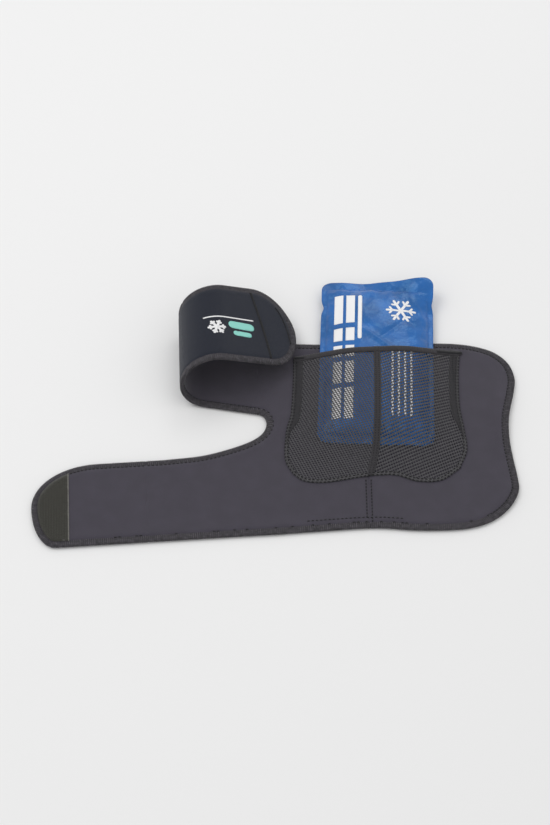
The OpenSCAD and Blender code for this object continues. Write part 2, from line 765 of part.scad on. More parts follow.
color(foam_colour) on_lower(1) flat_foam();  // lower_strap_middle_foam
color(face_colour) on_lower(1) flat_loop_face();  // lower_strap_middle_loop_face
color(thread_colour) on_lower(1) flat_binding();  // lower_strap_middle_binding
color(lining_colour) on_lower(2) flat_lining();  // lower_strap_end_lining
color(foam_colour) on_lower(2) flat_foam();  // lower_strap_end_foam
color(face_colour) on_lower(2) flat_loop_face();  // lower_strap_end_loop_face
color(thread_colour) on_lower(2) flat_binding();  // lower_strap_end_binding
color("darkolivegreen") lower_hook();  // lower_hook_patch
color(thread_colour) lower_hook_row();  // lower_hook_stitching
color(lining_colour) on_wing() flat_lining();  // end_wing_lining
color(foam_colour) on_wing() flat_foam();  // end_wing_foam
color(face_colour) on_wing() flat_loop_face();  // end_wing_loop_face
color(thread_colour) on_wing() flat_binding();  // end_wing_binding
color("royalblue") in_pocket() back_film();  // gel_pack_back_film
color("royalblue") in_pocket() front_film();  // gel_pack_front_film
color("cornflowerblue") in_pocket() gel();  // gel_filling
color("white") in_pocket() pack_print();  // gel_pack_print
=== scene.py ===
"""Looks of the cold compression wrap: laminated neoprene with overlocked edges, a mesh pocket and a gel pack.

Lengths are millimetres up to mesh making, which scales them to metres. A "pattern" point is a place on the
wrap laid out flat, in the CAD's own X and Y; place functions turn a pattern point and a height in the
laminate into a place on the real, folded wrap.
"""

import json
import math

import bpy
import numpy as np
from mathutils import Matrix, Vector
from mathutils.geometry import delaunay_2d_cdt


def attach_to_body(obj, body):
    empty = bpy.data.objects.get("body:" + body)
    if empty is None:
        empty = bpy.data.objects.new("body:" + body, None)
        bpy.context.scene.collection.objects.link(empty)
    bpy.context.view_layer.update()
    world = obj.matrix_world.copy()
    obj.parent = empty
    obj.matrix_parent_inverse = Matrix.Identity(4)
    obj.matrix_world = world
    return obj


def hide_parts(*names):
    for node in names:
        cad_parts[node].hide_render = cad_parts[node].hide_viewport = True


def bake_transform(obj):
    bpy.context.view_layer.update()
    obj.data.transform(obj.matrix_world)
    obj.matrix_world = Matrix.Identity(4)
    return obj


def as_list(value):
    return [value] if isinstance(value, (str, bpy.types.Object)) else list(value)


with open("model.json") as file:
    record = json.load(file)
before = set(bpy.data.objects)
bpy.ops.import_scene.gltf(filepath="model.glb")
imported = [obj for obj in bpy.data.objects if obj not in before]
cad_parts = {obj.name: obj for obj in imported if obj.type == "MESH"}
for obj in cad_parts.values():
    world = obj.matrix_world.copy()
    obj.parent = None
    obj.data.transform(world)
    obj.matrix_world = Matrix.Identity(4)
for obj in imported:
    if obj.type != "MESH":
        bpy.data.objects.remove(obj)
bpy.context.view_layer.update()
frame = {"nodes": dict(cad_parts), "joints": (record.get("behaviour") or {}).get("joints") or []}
MM = 0.001
RNG = np.random.default_rng(7)

# ---------------------------------------------------------------- sizes, as in the CAD
FABRIC_T = 4.0
MID = FABRIC_T / 2
BAND = 6.0            # width of the overlocked edge
STRAP_W = 90.0
LOWER_LEN = 192.0
LOWER_SLOPE = 4.2
UPPER_LEN = 234.0
UPPER_SLOPE = 10.0
ROLL_TURN = 2.5
LOWER_ROUND = (22.0, 60.0)   # depths of the strap tips' rounds, on the -w and the +w side
UPPER_ROUND = (34.0, 36.0)
LOOP_FLAT = 52.0
LOOP_R1 = 20.5
LOOP_R2 = 28.5
FLAP_SLOPE = 28.0
FLAP_RUN = 67.0
FLAP_R3 = 24.0
HOOK_LEN = 34.0
SEAM_X = -5.0
POCKET_X = 7.0
PACK_AT = np.array([3.0, -13.0])
PACK_TURN = math.radians(2.2)
PACK_W = 110.0
PACK_LEN = 198.0
PACK_Z = 4.7
PACK_H = 13.0


def joint(name):
    return next(j for j in frame["joints"] if j["name"] == name)


def hinge_at(name):
    return np.array(joint(name)["pos_m"]) / MM


LOWER_ORG = hinge_at("lower_strap_lift")[:2]
UPPER_ORG = np.array([-106.0, 25.3])
SKEW = math.radians(UPPER_SLOPE + ROLL_TURN)
TURN = math.radians(ROLL_TURN)


def unit(degrees):
    return np.array([math.cos(math.radians(degrees)), math.sin(math.radians(degrees))])


LOWER_DIR, LOWER_ACROSS = unit(180 + LOWER_SLOPE), unit(90 + LOWER_SLOPE)
UPPER_DIR, UPPER_ACROSS = unit(180 - UPPER_SLOPE), unit(90 - UPPER_SLOPE)
FOLD_GAPS = [
    np.linalg.norm(hinge_at(name)[:2] - LOWER_ORG)
    for name in ("lower_strap_bend_middle", "lower_strap_bend_end")
]


# ---------------------------------------------------------------- plane geometry
ALMOST_ONE = 0.999999


def along(knots, t):
    """Points a share t of the way along the smooth curve through the knots."""
    k = np.array(knots, float)
    n = len(k) - 1
    k = np.vstack([2 * k[0] - k[1], k, 2 * k[-1] - k[-2]])
    f = np.clip(np.asarray(t, float), 0, ALMOST_ONE) * n
    i = np.floor(f).astype(int)
    t = (f - i)[..., None]
    a, b, c, d = k[i], k[i + 1], k[i + 2], k[i + 3]
    return 0.5 * (2 * b + (c - a) * t + (2 * a - 5 * b + 4 * c - d) * t**2 + (3 * b - a - 3 * c + d) * t**3)


def catmull(knots, steps):
    """The smooth curve through the knots, with so many points from each knot to the next."""
    count = steps * (len(knots) - 1)
    return np.vstack([along(knots, np.arange(count) / count), knots[-1]])


def resample(line, pitch, closed=False):
    """Points at an even spacing, about pitch, along a line."""
    line = np.asarray(line, float)
    if closed:
        line = np.vstack([line, line[:1]])
    run = np.concatenate([[0], np.cumsum(np.linalg.norm(np.diff(line, axis=0), axis=1))])
    n = max(int(round(run[-1] / pitch)), 1)
    at = np.linspace(0, run[-1], n + 1)
    out = np.stack([np.interp(at, run, line[:, k]) for k in range(line.shape[1])], axis=1)
    return out[:-1] if closed else out


def clip(poly, point, normal):
    """The part of a closed polygon on the side of a line that normal points to."""
    poly = np.asarray(poly, float)
    side = (poly - point) @ normal
    out = []
    for i in range(len(poly)):
        j = (i + 1) % len(poly)
        if side[i] >= 0:
            out.append(poly[i])
        if (side[i] >= 0) != (side[j] >= 0):
            out.append(poly[i] + (poly[j] - poly[i]) * side[i] / (side[i] - side[j]))
    return np.array(out)


def distance_to(points, line, closed=True):
    """Distance of each point to a line."""
    a = np.asarray(line, float)
    b = np.roll(a, -1, axis=0)
    if not closed:
        a, b = a[:-1], b[:-1]
    d = b - a
    rel = points[:, None, :] - a[None]
    t = np.clip((rel * d).sum(-1) / np.maximum((d * d).sum(-1), 1e-9), 0, 1)
    return np.sqrt(((rel - t[..., None] * d) ** 2).sum(-1)).min(axis=1)


def signed_area(poly):
    x, y = poly[:, 0], poly[:, 1]
    return float((x * np.roll(y, -1) - y * np.roll(x, -1)).sum() / 2)


def ccw(poly):
    """The polygon in counter-clockwise order."""
    return poly if signed_area(poly) > 0 else poly[::-1]


def sheet_area(poly):
    """A polygon's area in square metres."""
    return abs(signed_area(poly)) * MM * MM


def sheet_size(poly):
    """A polygon's length and width in metres."""
    return tuple((poly.max(0) - poly.min(0)) * MM)


def inside(points, poly):
    """Which points lie inside a closed polygon."""
    x, y = points[:, 0], points[:, 1]
    hit = np.zeros(len(points), bool)
    for (x0, y0), (x1, y1) in zip(poly, np.roll(poly, -1, axis=0)):
        cross = (y0 > y) != (y1 > y)
        with np.errstate(divide="ignore", invalid="ignore"):
            hit ^= cross & (x < (x1 - x0) * (y - y0) / (y1 - y0) + x0)
    return hit


def bilinear(grid, i, j):
    """Values of a grid at fractional rows i and columns j."""
    i0, j0 = (np.minimum(k.astype(int), n - 2) for k, n in zip((i, j), grid.shape))
    a, b = i - i0, j - j0
    return (grid[i0, j0] * (1 - a) * (1 - b) + grid[i0 + 1, j0] * a * (1 - b)
            + grid[i0, j0 + 1] * (1 - a) * b + grid[i0 + 1, j0 + 1] * a * b)


def smoothstep(t):
    t = np.clip(t, 0, 1)
    return t * t * (3 - 2 * t)


# ---------------------------------------------------------------- the flat pattern
def lower_point(s, w):
    return LOWER_ORG + s * LOWER_DIR + w * LOWER_ACROSS


def upper_point(s, w):
    return UPPER_ORG + s * UPPER_DIR + w * UPPER_ACROSS


def tip(length, first, last, steps=14):
    """The rounded end of a strap as (s, w about the middle), from the -w edge to the +w edge."""
    half = STRAP_W / 2
    a = np.linspace(0, math.pi / 2, steps + 1)
    return [(length - first + first * math.sin(t), -half * math.cos(t)) for t in a] + [
        (length - last + last * math.sin(t), half * math.cos(t)) for t in a[-2::-1]
    ]


NOTCH = catmull([
    upper_point(12, 0), UPPER_ORG, (-100.6, 20.8), (-98.8, 12), (-103, 1.5), (-114, -7.5),
    (-134, -16.5), (-160, -24.5), lower_point(70, STRAP_W / 2),
], 5)
RIM = catmull([
    lower_point(40, -STRAP_W / 2), lower_point(0, -STRAP_W / 2), (-90, -112), (-50, -108.5), (0, -105),
    (40, -107.5), (80, -106), (104, -98.5), (122, -84), (132, -66), (132.5, -48), (128.5, -10),
    (129.5, 20), (136, 50), (138.5, 70), (132, 90), (113, 105), (80, 112), (20, 111.5), (-50, 111),
    upper_point(-6, STRAP_W), upper_point(12, STRAP_W),
], 5)
LOWER_TIP = [lower_point(s, w) for s, w in reversed(tip(LOWER_LEN, *LOWER_ROUND))]
UPPER_TIP = [upper_point(s, w + STRAP_W / 2) for s, w in reversed(tip(UPPER_LEN, *UPPER_ROUND))]
ROOT_FAR = upper_point(STRAP_W * math.tan(SKEW), STRAP_W)
EDGE_PITCH = 1.5
FLAT = np.vstack([NOTCH[5:], LOWER_TIP, RIM, [ROOT_FAR]])
STRAP = np.vstack([[ROOT_FAR], UPPER_TIP, [UPPER_ORG]])
OUTLINE = resample(np.vstack([NOTCH[5:], LOWER_TIP, RIM, UPPER_TIP]), EDGE_PITCH, closed=True)


# ---------------------------------------------------------------- from the pattern to the folded wrap
def ripple(p):
    """Low unevenness of the fabric's face over the pattern, about -1 to 1."""
    x, y = p[:, 0], p[:, 1]
    return (
        np.sin(x / 31 + 0.6 * np.sin(y / 27)) * np.cos(y / 38 + 0.4)
        + 0.5 * np.sin(x / 13 - y / 17 + 1.3) + 0.25 * np.sin(y / 7.3 + x / 9.1)
    ) / 1.75


def flat_place(p, h):
    """A pattern point on the table, at height h in the laminate. The free end's edge waves a little."""
    x, y = p[:, 0], p[:, 1]
    wave = 2.2 * smoothstep((x - 102) / 32) * (0.5 + 0.5 * np.sin(y / 19 + 0.4)) * smoothstep((y + 96) / 30)
    return np.column_stack([p, h + wave])


PROFILE = [
    (LOOP_FLAT, 0.0),
    (LOOP_R1 * math.pi / 2, 90.0),
    (LOOP_R2 * math.radians(90 + FLAP_SLOPE), 90 + FLAP_SLOPE),
    (FLAP_RUN, 0.0),
    (FLAP_R3 * math.radians(FLAP_SLOPE - 2), 2 - FLAP_SLOPE),
    (200.0, 0.0),
]


def loop_at(q):
    """Where the middle of the laminate is after a distance q round the loop: (u, z, direction)."""
    u, z, f = np.minimum(q, 0.0), np.full_like(q, MID), np.zeros_like(q)
    start, heading = 0.0, 0.0
    for run, turn in PROFILE:
        a, turn = np.clip(q - start, 0, run), math.radians(turn)
        if turn == 0:
            u, z = u + a * math.cos(heading), z + a * math.sin(heading)
        else:
            r, now = run / turn, heading + turn * a / run
            u, z = u + r * (np.sin(now) - math.sin(heading)), z + r * (math.cos(heading) - np.cos(now))
            f = f + turn * a / run
        start, heading = start + run, heading + turn
    return u, z, f


def loop_q(degrees):
    """The distance round the loop at which its direction is so many degrees."""
    first = LOOP_R1 * math.radians(min(degrees, 90))
    return LOOP_FLAT + first + LOOP_R2 * math.radians(max(degrees - 90, 0))


ROLL_DIR = -unit(ROLL_TURN)  # in plan, the way in which the distance round the loop grows
ROLL_LINE = np.array([-math.sin(TURN), math.cos(TURN)])


def roll_axes(p):
    """How far a pattern point is round the loop, and along the loop's axis."""
    s, w = (p - UPPER_ORG) @ UPPER_DIR, (p - UPPER_ORG) @ UPPER_ACROSS
    return s * math.cos(SKEW) - w * math.sin(SKEW), s * math.sin(SKEW) + w * math.cos(SKEW)


def rolled_place(p, h):
    """A pattern point of the upper strap, rolled up, at height h over its outer face."""
    q, t = roll_axes(p)
    u, z, f = loop_at(q)
    u, z = u - np.sin(f) * (h - MID), z + np.cos(f) * (h - MID)
    return np.column_stack([UPPER_ORG + u[:, None] * ROLL_DIR + t[:, None] * ROLL_LINE, z])


SQUEEZED = 1.45       # half the laminate's thickness under the edge thread
THINNEST = 0.3
RIM_ROUND = 1.3       # how far in the laminate's edge is rounded
NAP = 0.35            # depth of the lining's unevenness


def half_thickness(d):
    """Half the laminate's thickness at a distance d in from its edge, where the thread squeezes it."""
    squeezed = SQUEEZED + (MID - SQUEEZED) * smoothstep((d - BAND + 0.6) / 1.8)
    rim = np.sqrt(np.clip(1 - (1 - np.minimum(d / RIM_ROUND, 1)) ** 2, 0, 1))
    return np.maximum(squeezed * rim, THINNEST)


def seam_dip(p):
    """How deep the centre seam pulls the lining down at a pattern point."""
    x = p[:, 0] - SEAM_X
    return 0.8 * np.exp(-((x / 1.0) ** 2)) + 0.35 * np.exp(-((x / 6.0) ** 2))


def top_height(p, d):
    """Height of the lining's face over the outer face."""
    nap = NAP * smoothstep((d - BAND) / 12) * (0.5 + 0.5 * ripple(p))
    return MID + half_thickness(d) - nap - seam_dip(p) * (roll_axes(p)[0] < 0)


# ---------------------------------------------------------------- meshes
def new_object(name, verts, faces, materials, uv=None, material_index=None, smooth=True):
    """A mesh object from points in millimetres and lists of faces. Flat faces get sharp edges.

    uv holds a pattern point for every vertex, which the materials take as the place on the fabric.
    """
    mesh = bpy.data.meshes.new(name)
    groups = [np.asarray(f, np.int32) for f in faces if len(f)]
    loops = np.concatenate([g.ravel() for g in groups])
    sizes = np.concatenate([np.full(len(g), g.shape[1], np.int32) for g in groups])
    mesh.vertices.add(len(verts))
    mesh.vertices.foreach_set("co", (np.asarray(verts, float) * MM).ravel())
    mesh.loops.add(len(loops))
    mesh.loops.foreach_set("vertex_index", loops)
    mesh.polygons.add(len(sizes))
    mesh.polygons.foreach_set("loop_start", np.concatenate([[0], np.cumsum(sizes)[:-1]]).astype(np.int32))
    if material_index is not None:
        mesh.polygons.foreach_set("material_index", np.asarray(material_index, np.int32))
    if uv is not None:
        layer = mesh.uv_layers.new(name="fabric")
        layer.data.foreach_set("uv", (np.asarray(uv, float) * MM)[loops].ravel())
    mesh.update(calc_edges=True)
    mesh.validate()
    smooth = np.full(len(sizes), smooth)
    mesh.polygons.foreach_set("use_smooth", smooth)
    if not smooth.all():
        corner_edge = np.empty(len(mesh.loops), np.int32)
        mesh.loops.foreach_get("edge_index", corner_edge)
        sharp = np.zeros(len(mesh.edges), bool)
        sharp[corner_edge[np.repeat(~smooth, sizes)]] = True
        mesh.edges.foreach_set("use_edge_sharp", sharp)
    obj = bpy.data.objects.new(name, mesh)
    bpy.context.scene.collection.objects.link(obj)
    for m in materials:
        mesh.materials.append(m)
    return obj


def open_edges(faces):
    """The directed edges that only one face uses, as rows of two indices."""
    after = np.roll(faces, -1, axis=1)
    edges = np.vstack([np.stack([faces[:, k], after[:, k]], 1) for k in range(faces.shape[1])])
    n = edges.max() + 1
    code, back = edges[:, 0] * n + edges[:, 1], edges[:, 1] * n + edges[:, 0]
    return edges[~np.isin(code, back)]


def closed_faces(faces, n):
    """The faces, the same turned over n vertices further on, and the walls between their open edges."""
    rim = open_edges(faces)
    walls = np.stack([rim[:, 0], rim[:, 0] + n, rim[:, 1] + n, rim[:, 1]], 1)
    return [faces, faces[:, ::-1] + n, walls]


def tube_faces(n, m):
    """The faces round a tube of n rings of m vertices, and its two ends."""
    i, j = np.meshgrid(np.arange(n - 1), np.arange(m), indexing="ij")
    k = (j + 1) % m
    quads = np.stack([i * m + j, i * m + k, (i + 1) * m + k, (i + 1) * m + j], -1).reshape(-1, 4)
    return [quads, np.arange(m)[None, ::-1], np.arange((n - 1) * m, n * m)[None]]


class Threads:
    """Many lengths of thread, gathered into one mesh."""

    def __init__(self):
        self.verts, self.quads, self.ends, self.index, self.count = [], [], [], [], 0

    def add(self, path, ref, radius, sides=5, material=0, capped=True):
        """A tube round a path. ref holds a direction at each point that the path never runs along."""
        path, ref = np.asarray(path, float), np.asarray(ref, float)
        n = len(path)
        t = np.gradient(path, axis=0)
        t /= np.maximum(np.linalg.norm(t, axis=1, keepdims=True), 1e-9)
        b = ref - (ref * t).sum(1, keepdims=True) * t
        b /= np.maximum(np.linalg.norm(b, axis=1, keepdims=True), 1e-9)
        c = np.cross(t, b)
        a = (np.arange(sides) * 2 * math.pi / sides)[None, :, None]
        ring = path[:, None] + radius * (np.cos(a) * b[:, None] + np.sin(a) * c[:, None])
        quads = tube_faces(n, sides)[0]
        self.verts.append(ring.reshape(-1, 3))
        self.quads.append(quads + self.count)
        self.index.append(np.full(len(quads), material))
        if capped:
            self.ends.append((self.count, sides, n, material))
        self.count += n * sides

    def build(self, name, materials):
        tris, index = [], []
        for first, sides, n, material in self.ends:
            last = first + (n - 1) * sides
            for k in range(1, sides - 1):
                tris += [(first, first + k + 1, first + k), (last, last + k, last + k + 1)]
                index += [material, material]
        verts = np.vstack(self.verts)
        faces = [np.vstack(self.quads)] + ([np.array(tris)] if tris else [])
        marks = np.concatenate(self.index + ([np.array(index)] if tris else []))
        return new_object(name, verts, faces, materials, uv=verts[:, :2], material_index=marks)


def triangulate(poly, extra):
    """Triangles over a polygon, counter-clockwise, using the extra points inside it."""
    n = len(poly)
    edges = [(i, (i + 1) % n) for i in range(n)]
    points = [Vector(p) for p in np.vstack([poly, extra]).tolist()]
    found = delaunay_2d_cdt(points, edges, [list(range(n))], 1, 1e-5, True)
    verts = np.array([tuple(v) for v in found[0]])
    tris = np.array([f for f in found[2] if len(f) == 3])
    tris = tris[inside(verts[tris].mean(axis=1), poly)]
    a, b, c = verts[tris[:, 0]], verts[tris[:, 1]], verts[tris[:, 2]]
    area = (b[:, 0] - a[:, 0]) * (c[:, 1] - a[:, 1]) - (b[:, 1] - a[:, 1]) * (c[:, 0] - a[:, 0])
    real = np.abs(area) > 1e-7
    tris, area = tris[real], area[real]
    tris[area < 0] = tris[area < 0][:, ::-1]
    return verts, tris


GRID = 3.6                                          # spacing of the laminate's mesh
ROWS_IN = (0.35, 0.8, 1.4, 2.8, 5.2, 6.2, 7.4)      # distances of its first rows from an edge
CORNER_ROW = 0.8                                    # the row that lies inside the corners
FIRST_FREE = 8.6                                    # where the even spacing starts


def filler(poly):
    """Evenly spread points well inside a polygon, with rows close to its edge."""
    low, high = poly.min(0), poly.max(0)
    ys = np.arange(low[1], high[1], GRID * 0.866)
    x, y = np.meshgrid(np.arange(low[0], high[0], GRID), ys)
    x = x + (np.arange(len(ys)) % 2)[:, None] * GRID / 2
    p = np.column_stack([x.ravel(), y.ravel()])
    step = np.roll(poly, -1, axis=0) - poly
    length = np.maximum(np.linalg.norm(step, axis=1, keepdims=True), 1e-9)
    inward = np.column_stack([-step[:, 1], step[:, 0]]) / length
    rows = np.vstack([(poly if d == CORNER_ROW else poly + step / 2) + d * inward for d in ROWS_IN])
    rows = rows[inside(rows, poly)]
    rows = rows[distance_to(rows, poly) > 0.3]
    p = p[inside(p, poly)]
    return np.vstack([rows, p[distance_to(p, poly) > FIRST_FREE]])


ON_LINING, ON_LOOP, ON_EDGE, ON_FOAM = range(4)     # places in LAMINATE


def slab(name, poly, place, materials):
    """A closed length of laminate over a polygon of the pattern: lining above, loop face below."""
    poly = ccw(resample_edges(poly))
    verts, tris = triangulate(poly, filler(poly))
    d = distance_to(verts, OUTLINE)
    top = place(verts, top_height(verts, d))
    bottom = place(verts, MID - half_thickness(d))
    faces = closed_faces(tris, len(verts))
    middle = (verts[faces[2][:, 0]] + verts[faces[2][:, 3]]) / 2
    is_cut = distance_to(middle, OUTLINE) > 0.1
    in_band = d[tris].mean(1) < BAND - 0.4
    index = np.concatenate([
        np.where(in_band, ON_EDGE, ON_LINING), np.where(in_band, ON_EDGE, ON_LOOP),
        np.where(is_cut, ON_FOAM, ON_EDGE),
    ])
    smooth = np.concatenate([np.ones(2 * len(tris), bool), ~is_cut])
    return new_object(name, np.vstack([top, bottom]), faces, materials, uv=np.vstack([verts, verts]),
                      material_index=index, smooth=smooth)


DOUBLED = 0.02        # points closer than this count as one


def resample_edges(poly, spacing=2.2):
    """Adds points to a polygon's long edges, and drops doubled points."""
    out = []
    for a, b in zip(poly, np.roll(poly, -1, axis=0)):
        gap = np.linalg.norm(b - a)
        if gap >= DOUBLED:
            n = max(int(round(gap / spacing)), 1)
            out += [a + (b - a) * k / n for k in range(n)]
    return np.array(out)


# ---------------------------------------------------------------- materials
def shader(name, colour, roughness, **more):
    """A principled material. Keys of more are socket names with _ for a space."""
    m = bpy.data.materials.new(name)
    m.use_nodes = True
    p = m.node_tree.nodes["Principled BSDF"]
    p.inputs["Base Color"].default_value = (*colour, 1)
    p.inputs["Roughness"].default_value = roughness
    for key, value in more.items():
        p.inputs[key.replace("_", " ").title().replace("Ior", "IOR")].default_value = value
    return m


def link(m, source, target):
    m.node_tree.links.new(source, target)


def maths(m, operation, a, b):
    n = m.node_tree.nodes.new("ShaderNodeMath")
    n.operation = operation
    for k, v in enumerate((a, b)):
        if isinstance(v, (int, float)):
            n.inputs[k].default_value = v
        else:
            link(m, v, n.inputs[k])
    return n.outputs[0]


def fabric_coordinates(m):
    n = m.node_tree.nodes.new("ShaderNodeUVMap")
    n.uv_map = "fabric"
    return n.outputs[0]


def stripes(m, vector, axis, pitch_mm, distortion=0.0):
    """Soft stripes of a given pitch across one axis of the fabric."""
    n = m.node_tree.nodes.new("ShaderNodeTexWave")
    n.bands_direction = axis
    n.inputs["Scale"].default_value = 2 * math.pi / (20 * pitch_mm * MM)
    n.inputs["Distortion"].default_value = distortion
    link(m, vector, n.inputs["Vector"])
    return n.outputs["Fac"]


def grain(m, vector, size_mm, detail=2.0):
    n = m.node_tree.nodes.new("ShaderNodeTexNoise")
    n.inputs["Scale"].default_value = 1 / (size_mm * MM)
    n.inputs["Detail"].default_value = detail
    link(m, vector, n.inputs["Vector"])
    return n.outputs["Fac"]


def tint(m, factor, colour, low, high):
    """Colours the material by a factor, between low and high times a colour."""
    ramp = m.node_tree.nodes.new("ShaderNodeValToRGB")
    for element, position, k in zip(ramp.color_ramp.elements, (0.3, 0.7), (low, high)):
        element.position = position
        element.color = (*(min(c * k, 1) for c in colour), 1)
    link(m, factor, ramp.inputs[0])
    link(m, ramp.outputs[0], m.node_tree.nodes["Principled BSDF"].inputs["Base Color"])


def bump(m, height, distance_mm):
    n = m.node_tree.nodes.new("ShaderNodeBump")
    n.inputs["Distance"].default_value = distance_mm * MM
    n.inputs["Strength"].default_value = 1.0
    link(m, height, n.inputs["Height"])
    link(m, n.outputs[0], m.node_tree.nodes["Principled BSDF"].inputs["Normal"])


def knitted(name, colour, wale_mm, course_mm, depth_mm):
    m = shader(name, colour, 0.88, specular_ior_level=0.25, sheen_weight=0.25, sheen_roughness=0.6)
    uv = fabric_coordinates(m)
    yarn = maths(m, "MULTIPLY", stripes(m, uv, "X", wale_mm), stripes(m, uv, "Y", course_mm))
    bump(m, maths(m, "ADD", yarn, maths(m, "MULTIPLY", grain(m, uv, 0.5), 0.5)), depth_mm)
    mottle = maths(m, "MULTIPLY", grain(m, uv, 15.0), 0.7)
    tint(m, maths(m, "ADD", mottle, maths(m, "MULTIPLY", yarn, 0.3)), colour, 0.89, 1.11)
    return m


def film_material(name, colour):
    """Glossy blue film over gel, with soft dents that its reflections run over."""
    m = shader(
        name, colour, 0.26, coat_weight=0.3, coat_roughness=0.1, specular_ior_level=0.6,
        specular_tint=(0.35, 0.75, 1.0, 1.0),
    )
    uv = fabric_coordinates(m)
    dents = maths(m, "ADD", grain(m, uv, 22.0, 1.0), maths(m, "MULTIPLY", grain(m, uv, 5.0, 2.0), 0.16))
    bump(m, dents, 6.0)
    # random patches of lighter and darker blue; the light end, up to 1.3 times the colour, is partly painted
    # highlight
    tint(m, grain(m, uv, 26.0, 1.0), colour, 0.84, 1.3)
    return m


def brushed(name, colour):
    m = shader(name, colour, 0.95, specular_ior_level=0.2, sheen_weight=0.2, sheen_roughness=0.5)
    uv = fabric_coordinates(m)
    fuzz = maths(m, "ADD", grain(m, uv, 0.45, 4.0), maths(m, "MULTIPLY", stripes(m, uv, "X", 1.1, 3.0), 0.35))
    bump(m, fuzz, 0.25)
    tint(m, grain(m, uv, 1.6, 4.0), colour, 0.82, 1.15)
    return m


def spun(name, colour, roughness=0.8, spread=0.2, mottle_mm=2.5):
    """Thread, with a fine twist."""
    m = shader(name, colour, roughness, specular_ior_level=0.3, sheen_weight=0.2)
    uv = fabric_coordinates(m)
    bump(m, grain(m, uv, 0.3, 3.0), 0.08)
    tint(m, grain(m, uv, mottle_mm), colour, 1 - spread, 1 + spread)
    return m


LINING = knitted("lining_jersey", (0.042, 0.0365, 0.0535), 0.9, 0.7, 0.10)
LOOP_FACE = brushed("brushed_loop", (0.0148, 0.0176, 0.0285))
EDGE_BED = spun("edge_thread_bed", (0.048, 0.044, 0.052), 0.9)
FOAM = shader("foam_core", (0.012, 0.012, 0.013), 0.9)
THREAD = spun("overlock_thread", (0.066, 0.062, 0.070), spread=0.7, mottle_mm=3.2)
DARK_THREAD = spun("dark_thread", (0.008, 0.008, 0.010))
YARN = spun("mesh_yarn", (0.062, 0.060, 0.065), 0.6)
TAPE = spun("mouth_tape", (0.030, 0.028, 0.032))
# painted shade: a dark colour for strips on the mesh's sides beside the pack, standing for the shade where
# the mesh stands off the lining
SIDE_SHADE = spun("painted_side_shade", (0.018, 0.017, 0.020))
HOOK_BASE = spun("hook_tape", (0.040, 0.039, 0.032))
HOOK_EDGE = spun("hook_tape_edge", (0.17, 0.165, 0.15))
HOOKS = shader("hook_nylon", (0.085, 0.083, 0.072), 0.4)
FILM = film_material("gel_film", (0.012, 0.100, 0.355))
WHITE = shader("print_white", (0.88, 0.88, 0.89), 0.4)
TEAL = shader("print_teal", (0.26, 0.66, 0.58), 0.5)
LAMINATE = [LINING, LOOP_FACE, EDGE_BED, FOAM]


# ---------------------------------------------------------------- how pieces replace CAD parts and join their bodies
def attach(obj, body, slot, *replaced):
    """Hides the CAD nodes a piece replaces and parents it to its body; given a fold instead of a body, it
    only bakes the piece in place. The slot is not used.
    """
    if replaced:
        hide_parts(*replaced)
    if isinstance(body, str):
        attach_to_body(obj, body)
    else:
        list(body)
        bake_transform(obj)
    return obj


# ---------------------------------------------------------------- spans: lengths that bend at one joint
def hinge_ends(name, towards, ahead, behind=0.0):
    """Where a blend starts and ends, in metres: so many millimetres behind a hinge's axis and ahead of it."""
    at, along_fabric = hinge_at(name), np.asarray(towards, float)
    return tuple((at - behind * along_fabric) * MM), tuple((at + ahead * along_fabric) * MM)


def rising(degrees):
    """The fabric's direction where the loop's direction is so many degrees, in 3D."""
    a = math.radians(degrees)
    return np.array([*(ROLL_DIR * math.cos(a)), math.sin(a)])


CUT_1, CUT_2 = lower_point(FOLD_GAPS[0] / 2, 0), lower_point((FOLD_GAPS[0] + FOLD_GAPS[1]) / 2, 0)
FOLDS = (30, 90, 150)     # the loop's directions at its three hinges
Q_CUT_1, Q_CUT_2 = ((loop_q(a) + loop_q(b)) / 2 for a, b in zip(FOLDS, FOLDS[1:]))


def roll_cut(poly, q, sign):
    """The part of a polygon beyond a distance q round the loop, or up to it if sign is -1."""
    direction = math.cos(SKEW) * UPPER_DIR - math.sin(SKEW) * UPPER_ACROSS
    return clip(poly, UPPER_ORG + q * direction, sign * direction)


X_AXIS = np.array([1.0, 0.0])
LEFT = clip(clip(FLAT, SEAM_X * X_AXIS, -X_AXIS), CUT_1, -LOWER_DIR)
RIGHT = clip(FLAT, SEAM_X * X_AXIS, X_AXIS)
MIDDLE = clip(clip(FLAT, CUT_1, LOWER_DIR), CUT_2, -LOWER_DIR)
END = clip(FLAT, CUT_2, LOWER_DIR)

